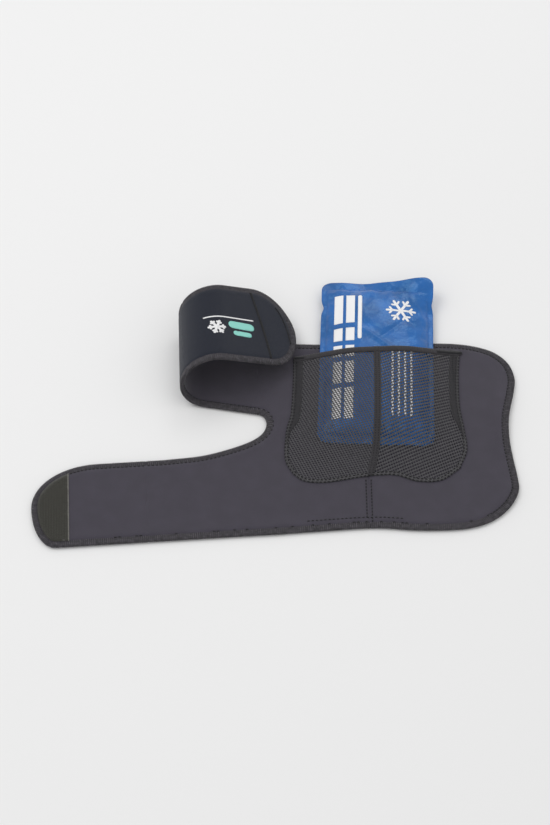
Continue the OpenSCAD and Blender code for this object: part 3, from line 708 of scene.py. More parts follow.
OUTWARD = (*LOWER_DIR, 0)     # along the lower strap, in 3D
FLAP_ENDS = hinge_ends("upper_strap_unroll_flap", rising(FOLDS[2]), 14, 12)
FLAP_FOLD = ("upper_strap_crown", "upper_strap_flap", *FLAP_ENDS)
CROWN_ENDS = hinge_ends("upper_strap_unroll_crown", rising(FOLDS[1]), 12, 9)
SPANS = [
    # name, polygon, the fold (two bodies, blend start and end), CAD nodes, way it is held
    ("panel_left", LEFT, ("panel", "lower_strap_inner", *hinge_ends("lower_strap_lift", OUTWARD, 12, 5)),
     ("panel_left", "lower_strap_inner"), "laid"),
    ("panel_right", RIGHT, ("panel", "end_wing", *hinge_ends("end_wing_fold", (1, 0, 0), 16)),
     ("panel_right", "end_wing"), "laid"),
    ("lower_strap_middle", MIDDLE,
     ("lower_strap_inner", "lower_strap_middle", *hinge_ends("lower_strap_bend_middle", OUTWARD, 12, 5)),
     ("lower_strap_middle",), "laid"),
    ("lower_strap_end", END,
     ("lower_strap_middle", "lower_strap_end", *hinge_ends("lower_strap_bend_end", OUTWARD, 12, 5)),
     ("lower_strap_end",), "laid"),
    ("upper_strap_root", roll_cut(STRAP, Q_CUT_1, -1),
     ("panel", "upper_strap_curl", *hinge_ends("upper_strap_unroll", rising(FOLDS[0]), 9, 9)),
     ("upper_strap_root", "upper_strap_curl"), "folded"),
    ("upper_strap_crown", roll_cut(roll_cut(STRAP, Q_CUT_1, 1), Q_CUT_2, -1),
     ("upper_strap_curl", "upper_strap_crown", *CROWN_ENDS), ("upper_strap_crown",), "folded"),
    ("upper_strap_flap", roll_cut(STRAP, Q_CUT_2, 1), FLAP_FOLD, ("upper_strap_flap",), "folded"),
]


def edge_runs(poly):
    """The stretches of the wrap's edge that belong to a polygon, as open lines of pattern points."""
    own = distance_to(OUTLINE, resample_edges(poly)) < 0.25
    if own.all():
        return [OUTLINE]
    first = -int(np.argmin(own))
    own, line = np.roll(own, first), np.roll(OUTLINE, first, axis=0)
    runs = np.split(line, np.nonzero(np.diff(own))[0] + 1)[1::2]
    return [r for r in runs if len(r) > 3]


def frame_along(line):
    """Unit tangents of a line, and the unit vectors to its left."""
    t = np.gradient(line, axis=0)
    t /= np.linalg.norm(t, axis=1, keepdims=True)
    return t, np.column_stack([-t[:, 1], t[:, 0]])


LOOPER_PITCH = 1.9
LOOPER_R = 0.25
LOOPER_STEPS = 20     # points of the line in each turn of the looper thread
# one pass over the edge: how far in, and how far to the lining's side (1) or the loop face's (-1)
LOOP_IN = np.array([5.5, 4.0, 2.4, 1.2, 0.4, -0.15, -0.38, -0.15, 0.4, 1.2, 2.4, 4.0, 5.5])
LOOP_UP = np.array([1, 1, 1, 1, 0.85, 0.55, 0, -0.55, -0.85, -1, -1, -1, -1])
NEEDLE_PITCH = 3.8
NEEDLE_R = 0.45
STITCH_RISE = np.array([-0.6, 0.5, 0.8, 0.5, -0.6])  # height along a stitch, as a share of its radius
UPRIGHT = np.tile([0, 0, 1.0], (5, 1))


def overlock(threads, run, place):
    """Looper thread wound round the edge of the laminate, and the row of needle stitches inside it."""
    line = resample(run, LOOPER_PITCH / LOOPER_STEPS)
    tangent, left = frame_along(line)
    n = len(line) // LOOPER_STEPS
    inward, up = (np.concatenate([v[:-1], v[:0:-1]]) for v in (LOOP_IN, LOOP_UP))
    d = (inward + np.where(inward > 3, RNG.normal(0, 0.18, n)[:, None], 0)).ravel()
    i = (np.arange(n)[:, None] + np.linspace(0, 1, len(up), endpoint=False)).ravel() * LOOPER_STEPS
    i = np.clip(i.astype(int), 0, len(line) - 1)
    p = line[i] + d[:, None] * left[i]
    thick = half_thickness(np.maximum(d, 0.0))
    thick = np.where(d < RIM_ROUND, np.maximum(thick, 1.1), thick)
    h = MID + np.tile(up, n) * (thick + LOOPER_R * 0.75)
    path = place(p, h)
    threads.add(path, place(p + tangent[i], h) - path, LOOPER_R)
    needle = resample(run, NEEDLE_PITCH)
    for p, t, m in zip(needle[:-1], *frame_along(needle)):
        if t[0] > 0.9 and p[1] < -60 and RNG.random() < 0.75:
            continue  # along the bottom edge most needle stitches sink into the nap
        ends = np.array([p + t * s + m * BAND for s in np.linspace(0.5, NEEDLE_PITCH - 0.9, 5)])
        lift = MID + half_thickness(np.full(5, BAND)) + np.array([-0.4, 0.35, 0.5, 0.35, -0.4])
        path = place(ends, lift)
        threads.add(path, place(ends, lift + 1) - path, NEEDLE_R, sides=6, material=1)


def make_laminate():
    for name, poly, fold, prefixes, held in SPANS:
        folded = held == "folded"
        place = rolled_place if folded else flat_place
        own = [n for q in prefixes for n in frame["nodes"] if n.startswith(q + "_")]
        covered = [n for n in own if not n.endswith("_binding")]
        face = attach(slab(name + "_laminate", poly, place, LAMINATE), fold, "lining", *covered)
        threads = Threads()
        for run in edge_runs(poly):
            overlock(threads, run, place)
        bound = [n for n in own if n.endswith("_binding")] + ["panel_edge_binding"] * (name == "panel_left")
        edge = attach(threads.build(name + "_overlock", [THREAD, DARK_THREAD]), fold, "edge_thread", *bound)
        sheet_size(poly)
        sheet_area(poly)


# ---------------------------------------------------------------- mesh pocket
MOUTH = [(-73, 94), (-40, 95), (POCKET_X, 96.6), (50, 99), (88, 101.5)]
CUSP = (-3, -48)
LOW_CORNER = [(-75, -46), (80, -40)]
BOTTOM_EDGE = [
    [CUSP, (-20, -51.5), (-45, -56), (-64, -54.5), LOW_CORNER[0]],
    [CUSP, (20, -47.5), (40, -54.5), (62, -53.5), LOW_CORNER[1]],
]
SIDE_EDGE = [
    [LOW_CORNER[0], (-82, -28), (-80.5, 4), (-76, 25), (-74, 60), MOUTH[0]],
    [LOW_CORNER[1], (88, -18), (86.5, 8), (84, 35), (85, 70), MOUTH[4]],
]
STEPS = np.linspace(0, 1, 40)
MESH_SEAM = along([CUSP, (3.4, -12), (6.0, 40), MOUTH[2]], STEPS)
LEFT_EDGE = [along(SIDE_EDGE[0], STEPS[::-1]), along(BOTTOM_EDGE[0], STEPS[::-1])]
RIGHT_EDGE = [along(BOTTOM_EDGE[1], STEPS), along(SIDE_EDGE[1], STEPS)]
HALF_GAP = (0.9, 0)
POCKET_HALF = [
    np.vstack([*LEFT_EDGE, MESH_SEAM + HALF_GAP, along(MOUTH[2::-1], STEPS)]),
    np.vstack([*RIGHT_EDGE, along(MOUTH[:1:-1], STEPS), MESH_SEAM[::-1] - HALF_GAP]),
]
POCKET = np.vstack([*LEFT_EDGE, *RIGHT_EDGE, along(MOUTH[::-1], np.linspace(0, 1, 60))])
TO_MOUTH = 0.985 * STEPS      # the sewing ends a little below the mouth
SEWN = np.vstack([
    along(SIDE_EDGE[0], TO_MOUTH[::-1]), LEFT_EDGE[1], RIGHT_EDGE[0][1:], along(SIDE_EDGE[1], TO_MOUTH[1:]),
])
YARN_T = 0.34


class Cover:
    """Height of the mesh: a taut skin sewn down round the pocket and held up by the pack."""

    STEP = 1.5
    OVER_LINING, OVER_PACK = 0.35, 0.45
    PASSES = 900
    TAUT = 1.6            # how much harder the skin pulls across the pocket than along it

    def __init__(self, pack_top):
        self.x = np.arange(-90, 96, self.STEP)
        self.y = np.arange(-62, 112, self.STEP)
        x, y = np.meshgrid(self.x, self.y)
        p = np.column_stack([x.ravel(), y.ravel()])
        within = (inside(p, POCKET) & (distance_to(p, SEWN, closed=False) > 3.0)).reshape(x.shape)
        mouth = along(MOUTH, np.linspace(0, 1, 80))
        beyond = y > np.interp(x, mouth[:, 0], mouth[:, 1]) - 0.5
        low = np.full(x.shape, FABRIC_T + self.OVER_LINING)
        under = np.maximum(low, pack_top(x, y) + self.OVER_PACK)
        self.z = np.where(within, under, low)
        last = (~beyond).sum(0) - 1
        column = np.nonzero(beyond)[1]
        for _ in range(self.PASSES):
            self.z[beyond] = self.z[last[column], column]  # beyond the mouth the skin goes on level
            z, pull = self.z, self.z.copy()
            beside = z[1:-1, :-2] + z[1:-1, 2:]
            pull[1:-1, 1:-1] = (z[:-2, 1:-1] + z[2:, 1:-1] + self.TAUT * beside) / (2 + 2 * self.TAUT)
            self.z = np.where(within, np.maximum(under, pull), z)
        self.z[beyond] = self.z[last[column], column]

    def __call__(self, p):
        i = np.clip((p[:, 1] - self.y[0]) / self.STEP, 0, len(self.y) - 1.001)
        j = np.clip((p[:, 0] - self.x[0]) / self.STEP, 0, len(self.x) - 1.001)
        return bilinear(self.z, i, j)

    def outside(self, p):
        """Height of the mesh's upper side, nowhere below the lining's."""
        return np.maximum(self(p), FABRIC_T) + YARN_T


# for the left and the right half
MESH_PITCH = ((2.4, 2.6), (2.4, 3.3))   # along a row and from row to row
MESH_ROWS = (114, 25)                   # directions of the rows of holes, in degrees
MESH_WAVE = (0.22, 0.30)                # how far the rows stand up and sink
# for both
HOLE = (0.44, 0.37)                     # half a hole along and across the rows, as a share of the pitch
ROW_ANGLE = 78                          # between the rows and the way from row to row, in degrees
CELL = np.array([(-1, -1), (0, -1), (1, -1), (1, 0), (1, 1), (0, 1), (-1, 1), (-1, 0)])


def mesh_half(name, side, cover):
    """Open mesh: a lattice of cells with a round hole in each, laid over the cover."""
    along_row = unit(MESH_ROWS[side]) * MESH_PITCH[side][0]
    across = unit(MESH_ROWS[side] + ROW_ANGLE) * MESH_PITCH[side][1]
    basis = np.column_stack([along_row, across])
    poly = POCKET_HALF[side]
    middle = poly.mean(0)
    reach = int(150 / min(MESH_PITCH[side]))
    i, j = np.meshgrid(np.arange(-reach, reach), np.arange(-reach, reach), indexing="ij")
    cells = np.column_stack([i.ravel(), j.ravel()])
    for corner in ((0, 0), *CELL[::2] / 2):
        cells = cells[inside((cells + corner) @ basis.T + middle, poly)]
    n = len(cells)
    lattice, outer = np.unique((2 * cells[:, None] + CELL).reshape(-1, 2), axis=0, return_inverse=True)
    outer = outer.reshape(n, 8)
    hole = CELL / np.linalg.norm(CELL, axis=1)[:, None] * HOLE
    inner = (cells[:, None] + hole).reshape(-1, 2)
    p = np.vstack([lattice / 2, inner]) @ basis.T + middle
    first = len(lattice) + 8 * np.arange(n)
    sides = [(k, (k + 1) % 8) for k in range(8)]
    quads = np.vstack([np.stack([outer[:, k], outer[:, m], first + m, first + k], 1) for k, m in sides])
    z = cover(p) + MESH_WAVE[side] * np.cos(2 * np.pi * ((p - middle) @ np.linalg.inv(basis).T)[:, 1])
    verts = np.vstack([np.column_stack([p, z + YARN_T]), np.column_stack([p, z])])
    return new_object(name, verts, closed_faces(quads, len(p)), [YARN], uv=verts[:, :2])


def ribbon(name, line, near, far, height, lift, thickness, material):
    """A closed strip between two offsets to the left of a line of pattern points, over a surface: used for
    tape, the hem and dark strips of painted shade.
    """
    left = frame_along(line)[1]
    near, far = near * np.ones(len(line)), far * np.ones(len(line))
    offsets = [near + (far - near) * t for t in (0, 1 / 3, 2 / 3, 1)]
    crown = lift + thickness * np.array([0.5, 1, 1, 0.5])
    rows = [*zip(offsets, crown)] + [(o, lift) for o in offsets[::-1]]
    pts = [line + o[:, None] * left for o, _ in rows]
    verts = np.stack([np.column_stack([q, height(q) + c]) for q, (_, c) in zip(pts, rows)], 1).reshape(-1, 3)
    quads, *ends = tube_faces(len(line), len(rows))
    faces = [quads[:, [0, 3, 2, 1]]] + [end[:, ::-1] for end in ends]
    return attach(new_object(name, verts, faces, [material], uv=verts[:, :2]), "panel", "mesh")


def make_pocket(cover):
    halves = [
        attach(mesh_half(name + "_fabric", side, cover), "panel", "mesh", name)
        for side, name in enumerate(("pocket_mesh_left", "pocket_mesh_right"))
    ]
    high = np.linspace(0.3, 1, 60)
    near, far = 1.0, 2.5 + 6.5 * smoothstep((high - 0.3) / 0.25)
    left, right = (along(edge, high) for edge in SIDE_EDGE)
    over = cover.outside
    pieces = [
        mouth_tape(cover),
        pocket_stitching(over),
        ribbon("mesh_seam_tape", resample(MESH_SEAM, 2.0), -3.2, 3.2, over, 0.0, 0.5, TAPE),
        ribbon("pocket_hem", resample(SEWN, 1.5), 0.0, 3.2, over, -0.30, 0.36, YARN),
        # the two side strips are painted shade: dark strips along the mesh's sides, where the mesh stands off
        # the lining beside the pack
        ribbon("pocket_side_shade_left", left, -far, -near, over, -0.2, 0.45, SIDE_SHADE),
        ribbon("pocket_side_shade_right", right, near, far, over, -0.2, 0.45, SIDE_SHADE),
    ]
    solid = 1 - 2 * math.sqrt(2) * HOLE[0] * HOLE[1]
    for obj, poly, sewn_on in zip(halves, POCKET_HALF, (pieces, ())):
        sheet_size(poly)
        sheet_area(poly) * solid
        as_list(sewn_on)


# distance in and height round the tape
TAPE_SECTION = [(0.3, 0.0), (1.0, 0.75), (3.0, 0.95), (5.2, 0.9), (6.6, 0.6), (6.9, 0.0)]
TAPE_SECTION += [(d, -0.12) for d, _ in reversed(TAPE_SECTION[1:-1])]
RIB_PITCH = 0.55      # between points of the line; a rib takes four


def mouth_tape(cover):
    """Ribbed tape folded over the mesh's top edge."""
    line = resample(along(MOUTH, np.linspace(0, 1, 200)), RIB_PITCH)
    down = -frame_along(line)[1]
    reach, rise = np.array(TAPE_SECTION).T
    p = (line[:, None] + down[:, None] * (reach - 0.5)[:, None]).reshape(-1, 2)
    rib = 0.13 * np.sin(np.pi / 2 * np.arange(len(line)))[:, None] * (rise > 0.5)
    verts = np.column_stack([p, cover(p) + YARN_T + (rise + rib).ravel()])
    obj = new_object("pocket_mouth_tape", verts, tube_faces(len(line), len(rise)), [TAPE], uv=p)
    return attach(obj, "panel", "mouth_tape", "pocket_mouth_binding")


def stitch_row(threads, line, height, pitch, length, radius, material=0, zigzag=0.0):
    """Separate stitches along a line of pattern points. height gives the surface under a point."""
    line = resample(line, pitch)
    share = np.linspace(0, 1, 5)[:, None]
    for k, (p, t, m) in enumerate(zip(line[:-1], *frame_along(line))):
        pts = p + t * length * share + m * (zigzag if k % 2 else -zigzag) * (2 * share - 1)
        path = np.column_stack([pts, height(pts) + radius * STITCH_RISE])
        threads.add(path, UPRIGHT, radius, sides=6, material=material)


def pocket_stitching(height):
    """Cover stitch round the pocket: two rows of stitches with zigzag thread between them."""
    threads = Threads()
    left = frame_along(SEWN)[1]
    for offset in (0.3, 2.9):
        stitch_row(threads, SEWN + offset * left, height, 3.8, 2.1, 0.55, material=1)
    stitch_row(threads, SEWN + 1.5 * left, height, 1.8, 1.8, 0.26, zigzag=1.2)
    for offset in (-1.5, 1.5):
        stitch_row(threads, MESH_SEAM + (offset, 0), lambda p: height(p) + 0.5, 2.6, 1.8, 0.30, material=1)
    obj = threads.build("pocket_cover_stitch", [YARN, DARK_THREAD])
    return attach(obj, "panel", "sewing_thread", "pocket_edge_stitching")


TACK_PITCH, TACK_R = 0.62, 0.34
TACKS = ((-72.0, -63.0, 91.6, 91.0), (66.0, 90.0, 96.6, 98.4))  # x from and to, y from and to
TACK_RUN = np.array([(80.5, 93.0), (80.0, 78.0), (79.5, 62.0)])


def make_bar_tacks(cover):
    """Dense stitches over both ends of the mouth's tape, and the run of stitches under the right one."""
    threads = Threads()
    on_mesh = lambda p: cover(p) + YARN_T
    for x0, x1, y0, y1 in TACKS:
        for x in np.arange(x0, x1, TACK_PITCH):
            y = y0 + (y1 - y0) * (x - x0) / (x1 - x0)
            ends = np.array([(x + 0.2, y - 1.5), (x, y - 1.0), (x, y), (x, y + 1.0), (x + 0.2, y + 1.5)])
            path = np.column_stack([ends, on_mesh(ends) + 0.95 + np.array([-0.5, 0.2, 0.3, 0.2, -0.5])])
            threads.add(path, UPRIGHT, TACK_R)
    stitch_row(threads, TACK_RUN, on_mesh, 2.4, 1.7, 0.45)
    obj = threads.build("pocket_bar_tack_threads", [DARK_THREAD])
    attach(obj, "panel", "sewing_thread", "pocket_bar_tacks")


def make_seam():
    """Twin needle rows beside the centre seam, and the row that turns off along the bottom edge."""
    threads = Threads()
    height = lambda p: top_height(p, distance_to(p, OUTLINE))
    for offset in (-2.4, 2.4):
        for y0, y1 in ((-97.0 - offset, -50.5), (100.5, 105.5)):
            row = np.array([(SEAM_X + offset, y) for y in (y0, (y0 + y1) / 2, y1)])
            stitch_row(threads, row, height, 3.6, 2.3, 0.52)
    x, y = OUTLINE.T
    near = OUTLINE[(y < -90) & (x > -62) & (x < 26)]
    near = near[np.argsort(near[:, 0])]
    stitch_row(threads, near + 10.5 * frame_along(near)[1], height, 3.8, 2.2, 0.46)
    obj = threads.build("centre_seam_threads", [DARK_THREAD])
    attach(obj, "panel", "sewing_thread", "centre_seam_stitching")


# ---------------------------------------------------------------- thin pieces cut to a shape
def patch(name, polys, top, bottom, spacing, materials, index=None):
    """Closed thin pieces over polygons of the plane. top and bottom place plane points in space."""
    verts, faces, uv, marks, count = [], [[], []], [], [[], []], 0
    for k, poly in enumerate(polys):
        poly = ccw(resample_edges(poly, spacing))
        low, high = poly.min(0), poly.max(0)
        x, y = np.meshgrid(np.arange(low[0], high[0], spacing), np.arange(low[1], high[1], spacing))
        grid = np.column_stack([x.ravel(), y.ravel()])
        grid = grid[inside(grid, poly)]
        if len(grid):
            grid = grid[distance_to(grid, poly) > spacing * 0.4]
        p, tris = triangulate(poly, grid)
        *flat, walls = closed_faces(tris, len(p))
        verts += [top(p), bottom(p)]
        uv += [p, p]
        faces[0] += [f + count for f in flat]
        faces[1].append(walls + count)
        for group, size in enumerate((2 * len(tris), len(walls))):
            marks[group].append(np.full(size, index[k] if index else 0))
        count += 2 * len(p)
    return new_object(name, np.vstack(verts), [np.vstack(f) for f in faces], materials, uv=np.vstack(uv),
                      material_index=np.concatenate(marks[0] + marks[1]))


def bar(centre, length, width, degrees=0.0):
    """A bar with round ends."""
    a = np.radians(np.concatenate([np.linspace(-90, 90, 7), np.linspace(90, 270, 7)]))
    p = np.column_stack([np.cos(a), np.sin(a)]) * width / 2
    p[:7, 0] += (length - width) / 2
    p[7:, 0] -= (length - width) / 2
    t = unit(degrees)
    return p @ np.array([t, [-t[1], t[0]]]) + centre


TWIG_AT, TWIG_LENGTH, TWIG_WIDTH = 0.55, 0.4, 0.8     # shares of the arm's length and width
TWIG_LEAN = 55


def crystal(centre, radius, width):
    """A snow crystal: three crossed bars, with a pair of twigs on every arm."""
    centre = np.array(centre, float)
    shapes = [bar(centre, 2 * radius, width, a) for a in (0, 60, 120)]
    for a in range(0, 360, 60):
        for lean in (a - TWIG_LEAN, a + TWIG_LEAN):
            twig = centre + radius * (TWIG_AT * unit(a) + 0.17 * unit(lean))
            shapes.append(bar(twig, radius * TWIG_LENGTH, width * TWIG_WIDTH, lean))
    return shapes


# ---------------------------------------------------------------- closures and badge
HOOK_INSET = 5.2
HOOK_PITCH = 1.45
HOOK_R = 0.13
HOOKS_FROM, HOOKS_CLEAR = 1.8, 0.9    # distances of the hooks from the tape's inner edge and from its outline
HOOKS_REACH = 130                     # more than the tape's length
SELVEDGE = 1.1
TAPE_TOP, TAPE_UNDER = FABRIC_T + 0.45, FABRIC_T - 0.35
HOOK_REACH = np.array([0.0, 0.0, 0.22, 0.62, 0.72])
HOOK_RISE = FABRIC_T + 0.4 + np.array([0.0, 0.62, 0.92, 0.82, 0.50])


def inset_line(poly, d):
    """A counter-clockwise polygon moved inwards."""
    before, after = np.roll(poly, 1, axis=0), np.roll(poly, -1, axis=0)
    t = after - before
    t /= np.maximum(np.linalg.norm(t, axis=1, keepdims=True), 1e-9)
    return poly + d * np.column_stack([-t[:, 1], t[:, 0]])


def level(place, h):
    """Places pattern points at one height over the outer face."""
    return lambda p: place(p, np.full(len(p), h))


def hook_tape(name, replaced, body, poly, place, start, direction):
    """Hook tape on the lining: a woven base, a smooth selvedge on its inner edge, and rows of hooks."""
    poly = clip(inset_line(ccw(poly), HOOK_INSET), start, direction)
    field, selvedge = (clip(poly, start + SELVEDGE * direction, way) for way in (direction, -direction))
    base = patch(name, [field, selvedge], level(place, TAPE_TOP), level(place, TAPE_UNDER), 4.0,
                 [HOOK_BASE, HOOK_EDGE], index=[0, 1])
    attach(base, body, "hook_tape", replaced)
    threads = Threads()
    across = np.array([-direction[1], direction[0]])
    n = int(HOOKS_REACH / HOOK_PITCH)
    i, j = np.meshgrid(np.arange(1, n // 2), np.arange(-n // 2, n), indexing="ij")
    i, j = i.reshape(-1, 1), j.reshape(-1, 1)
    root = start + (i * HOOK_PITCH + HOOKS_FROM) * direction + (j + i % 2 / 2) * HOOK_PITCH * across
    root = root[inside(root, field)]
    root = root[distance_to(root, field) > HOOKS_CLEAR]
    for k, p in enumerate(root):
        pts = p + HOOK_REACH[:, None] * across * (1 if k % 2 else -1)
        path = place(pts, HOOK_RISE)
        threads.add(path, place(pts + direction, HOOK_RISE) - path, HOOK_R, sides=3, capped=False)
    attach(threads.build(name + "_hooks", [HOOKS]), body, "hook_tape")


def make_closures():
    hook_tape("lower_hook_tape", "lower_hook_patch", "lower_strap_end", END, flat_place,
              lower_point(LOWER_LEN - HOOK_LEN, 0), LOWER_DIR)
    hook_tape("upper_hook_tape", "upper_hook_patch", "upper_strap_flap", STRAP, rolled_place,
              upper_point(UPPER_LEN - HOOK_LEN, 0), UPPER_DIR)
    threads = Threads()
    row = np.array([lower_point(LOWER_LEN - HOOK_LEN + 0.7, w) for w in (-38.0, -20.0, 0.0, 20.0, 35.0)])
    stitch_row(threads, row, lambda p: np.full(len(p), FABRIC_T + 0.5), 2.6, 1.9, 0.24)
    obj = threads.build("lower_hook_threads", [HOOK_EDGE])
    attach(obj, "lower_strap_end", "sewing_thread", "lower_hook_stitching")
    make_flap_seams()


def outer_row(threads, line, pitch, length, radius):
    """Stitches on the outer face of the rolled strap along a line of pattern points."""
    line = resample(line, pitch)
    h = -radius * STITCH_RISE
    for p, t in zip(line[:-1], frame_along(line)[0]):
        pts = p + t * (length * np.linspace(0, 1, 5))[:, None]
        path = rolled_place(pts, h)
        threads.add(path, rolled_place(pts, h - 1) - path, radius, sides=6)


def make_flap_seams():
    """On the outer face, the cross seam that holds the hook tape and the tape's end row near the tip."""
    threads = Threads()
    cross = catmull([upper_point(*p) for p in ((194.6, 84), (196.4, 55), (197.2, 30), (197, 6))], 8)
    end = catmull([upper_point(*p) for p in ((219, 69), (222.5, 61), (225, 46), (225.4, 26))], 8)
    outer_row(threads, cross, 1.7, 1.75, 0.62)
    outer_row(threads, cross + 1.1 * UPPER_DIR, 1.7, 1.75, 0.50)
    outer_row(threads, end, 1.7, 1.7, 0.60)
    obj = threads.build("flap_seam_threads", [DARK_THREAD])
    attach(obj, "upper_strap_flap", "sewing_thread", "upper_hook_stitching")


BADGE_UNDER, BADGE_TOP = 0.25, -0.12  # heights: under the loop face and proud of it


def make_badge():
    """A plain printed emblem: a white snow crystal and bar, and two teal bars with round ends."""
    white = crystal((147, 37.5), 8.8, 2.5) + [bar((163.0, 49.6), 52, 1.4, -2.0)]
    teal = [bar((173.5, 40.6), 28, 8.5, -4.0), bar((172.5, 31.0), 20, 5.5, -4.0)]
    shapes = [np.array([upper_point(s, w) for s, w in shape]) for shape in white + teal]
    under, top = level(rolled_place, BADGE_UNDER), level(rolled_place, BADGE_TOP)
    obj = patch("strap_emblem", shapes, under, top, 2.0, [WHITE, TEAL],
                index=[0] * len(white) + [1] * len(teal))
    attach(obj, FLAP_FOLD, "badge", "strap_badge")


# ---------------------------------------------------------------- gel pack
WELD_SIDE, WELD_END, WELD_T = 5.0, 9.0, 0.7
PACK_CORNER = 10.0
PACK_CELLS = (110, 200)       # across and along
PRINT_TOP, PRINT_UNDER = 0.16, -0.15  # heights over the front film


def pack_surface(x, y):
    """Front film's height over the back film at a distance x across and y along the pack."""
    u = np.clip((x - WELD_SIDE) / (PACK_W - 2 * WELD_SIDE), 0, 1)
    far_weld = WELD_END + 8 * smoothstep((x - 35) / 75)
    v = np.clip((y - WELD_END) / (PACK_LEN - WELD_END - far_weld), 0, 1)
    pillow = (np.clip(1 - np.abs(2 * u - 1) ** 2.4, 0, 1) * np.clip(1 - np.abs(2 * v - 1) ** 6, 0, 1)) ** 0.62
    dx, dy = np.minimum(x, PACK_W - x) - WELD_SIDE, np.minimum(y, PACK_LEN - y) - WELD_END
    pucker = (
        1.1 * np.exp(-np.maximum(dy, 0) / 11) * np.sin(x / 3.1 + 1.9 * np.sin(x / 12)) * (dy > -1)
        + 0.8 * np.exp(-np.maximum(dx, 0) / 8) * np.sin(y / 3.6 + 1.6 * np.sin(y / 14)) * (dx > -1)
    )
    dents = 0.7 * np.sin(x / 15 + y / 27) * np.sin(y / 21 - x / 37 + 1) * pillow
    crease = np.zeros_like(x)
    # centre x and y of each crease, its lean, half-width, length and depth
    for cx, cy, lean, wide, run, deep in (
        (92, 168, -0.55, 2.6, 15, 1.3), (82, 150, -0.8, 2.8, 13, -1.0), (100, 150, -0.35, 2.4, 14, 0.9),
        (16, 150, 0.25, 3.6, 26, -1.3), (24, 178, 0.9, 3.0, 12, 1.0), (55, 122, -1.2, 4.0, 14, 1.1),
        (48, 176, 0.4, 3.2, 12, -0.9), (70, 134, 1.0, 3.6, 14, -1.0),
    ):
        off = (x - cx) - (y - cy) * lean
        crease = crease + deep * np.exp(-((off / wide) ** 2) - (((y - cy) / run) ** 2))
    gel = PACK_H - 1.3
    return gel * pillow + pucker * np.minimum(pillow * 3 + 0.15, 1) + dents + crease * pillow - 0.6 * pillow


def pack_lift(x, y):
    """Height of the back film: the end outside the pocket rises, most at its right corner."""
    end = 2.5 * smoothstep((y - 118) / 75)
    corner = 12.5 * smoothstep((y - 160) / 38) * smoothstep((x - 40) / 70)
    margin = smoothstep((np.abs(y / PACK_LEN - 0.5) - 0.42) / 0.08)
    return end + corner + 0.5 * np.sin(x / 5.8 + y / 8.6) * margin + 0.5


def pack_place(x, y, z):
    """A point of the pack's own frame, x from its middle and y from its lower end."""
    c, s = math.cos(PACK_TURN), math.sin(PACK_TURN)
    return np.column_stack([PACK_AT[0] + x * c + y * s, PACK_AT[1] - x * s + y * c, z])


def make_pack():
    nx, ny = PACK_CELLS
    a, b = np.meshgrid(np.linspace(0, 1, nx + 1), np.linspace(0, 1, ny + 1))
    x, y = (a - 0.5) * PACK_W, (b - 0.5) * PACK_LEN
    # how far a point is into its corner both ways, and how much the rounding takes off that
    ex = np.maximum(np.abs(x) - PACK_W / 2 + PACK_CORNER, 0)
    ey = np.maximum(np.abs(y) - PACK_LEN / 2 + PACK_CORNER, 0)
    reach = np.hypot(ex, ey)
    fit = np.where((ex > 0) & (ey > 0), np.maximum(ex, ey) / np.maximum(reach, 1e-9), 1)
    x = np.sign(x) * (np.abs(x) - ex + ex * fit)
    y = np.sign(y) * (np.abs(y) - ey + ey * fit) + PACK_LEN / 2
    # the side welds are pinched in beside the open end's creases
    kink = np.exp(-(((y - 165) / 6) ** 2)) * 2.2 * smoothstep((0.09 - a) / 0.09)
    kink = kink - np.exp(-(((y - 170) / 5) ** 2)) * 1.3 * smoothstep((a - 0.91) / 0.09)
    h = pack_surface(a * PACK_W, b * PACK_LEN)
    z = PACK_Z + pack_lift(a * PACK_W, y)
    top_z = z + WELD_T + np.maximum(h, 0)
    front = pack_place((x + kink).ravel(), y.ravel(), top_z.ravel())
    back = pack_place((x + kink).ravel(), y.ravel(), z.ravel())
    w = nx + 1
    i = (np.arange(ny)[:, None] * w + np.arange(nx)).ravel()
    faces = closed_faces(np.stack([i, i + 1, i + w + 1, i + w], -1), len(front))
    verts = np.vstack([front, back])
    obj = new_object("gel_pack_film", verts, faces, [FILM], uv=verts[:, :2])
    attach(obj, "gel_pack", "film", "gel_pack_back_film", "gel_pack_front_film", "gel_filling")

    def surface(x, y):
        """Height of the front film at points of the pack's own frame."""
        return bilinear(top_z, np.clip(y / PACK_LEN, 0, 1) * ny, np.clip(x / PACK_W + 0.5, 0, 1) * nx)

    make_print(surface)

    def top(px, py):
        """Height of the front film at points of the plane, far down where there is no pack."""
        c, s = math.cos(PACK_TURN), math.sin(PACK_TURN)
        dx, dy = px - PACK_AT[0], py - PACK_AT[1]
        x, y = dx * c - dy * s, dx * s + dy * c
        out = (np.abs(x) > PACK_W / 2) | (y < 0) | (y > PACK_LEN)
        return np.where(out, -50.0, surface(x, y))

    return top


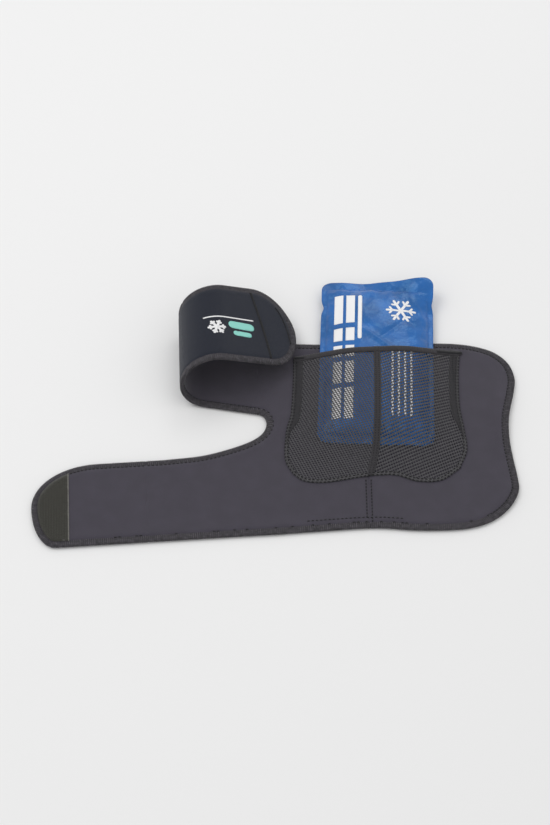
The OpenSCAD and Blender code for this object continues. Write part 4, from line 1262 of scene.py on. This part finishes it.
def make_print(surface):
    """White marks on the front film: a snow crystal, a broken wide bar and plain thin bars."""
    rows = ((24, 60), (66, 92), (98, 112), (118, 134), (140, 176))
    shapes = crystal((23, 157), 15, 2.6)
    shapes += [np.array([(x, a), (x + 8.5, a), (x + 8.5, b), (x, b)]) for x in (-42, -30.5) for a, b in rows]
    shapes += [bar((-17, 148), 56, 4, 90)]
    shapes += [bar((x, 68), 80, 2, 90) for x in (15, 21, 27, 33)]
    place = lambda lift: lambda p: pack_place(*p.T, surface(*p.T) + lift)
    obj = patch("gel_pack_marks", shapes, place(PRINT_TOP), place(PRINT_UNDER), 1.3, [WHITE])
    attach(obj, "gel_pack", "print", "gel_pack_print")


# ---------------------------------------------------------------- stage, camera, light
def make_stage():
    bpy.ops.mesh.primitive_plane_add(size=8, location=(0, 0, -0.0003))
    floor = bpy.context.object
    floor.name = "floor"
    floor.data.materials.append(shader("floor_paper", (0.87, 0.87, 0.87), 0.9, specular_ior_level=0.1))


def make_light():
    world = bpy.data.worlds.new("studio")
    bpy.context.scene.world = world
    world.use_nodes = True
    sky = world.node_tree.nodes["Background"]
    sky.inputs["Color"].default_value = (1, 1, 1, 1)
    sky.inputs["Strength"].default_value = 0.79
    for name, place, size, power in (
        ("key", (-1.2, 0.4, 1.9), 1.3, 9.0),
        ("back", (0.3, 1.3, 1.25), 0.7, 2.2),
    ):
        data = bpy.data.lights.new(name, "AREA")
        data.shape, data.size, data.energy = "DISK", size, power
        obj = bpy.data.objects.new(name, data)
        obj.location = place
        obj.rotation_euler = (-Vector(place)).to_track_quat("-Z", "Y").to_euler()
        bpy.context.scene.collection.objects.link(obj)


VIEW_AIM = (-91.25, 29.25, 0)
VIEW_ELEVATION = 52.0
VIEW_DISTANCE = 1.85
FRAME_MM_PER_PIXEL = 0.95
IMAGE_LONG_SIDE = 825


def make_camera():
    data = bpy.data.cameras.new("camera")
    obj = bpy.data.objects.new("camera", data)
    bpy.context.scene.collection.objects.link(obj)
    bpy.context.scene.camera = obj
    e = math.radians(VIEW_ELEVATION)
    obj.location = Vector(VIEW_AIM) * MM + VIEW_DISTANCE * Vector((0, -math.cos(e), math.sin(e)))
    obj.rotation_euler = (math.pi / 2 - e, 0, 0)
    data.sensor_width = 36
    bpy.context.scene.view_settings.view_transform = "Standard"
    data.lens = 36 * VIEW_DISTANCE / (IMAGE_LONG_SIDE * FRAME_MM_PER_PIXEL * MM)


make_laminate()
pack_top = make_pack()
cover = Cover(pack_top)
make_pocket(cover)
make_bar_tacks(cover)
make_seam()
make_closures()
make_badge()
make_stage()
make_light()
make_camera()
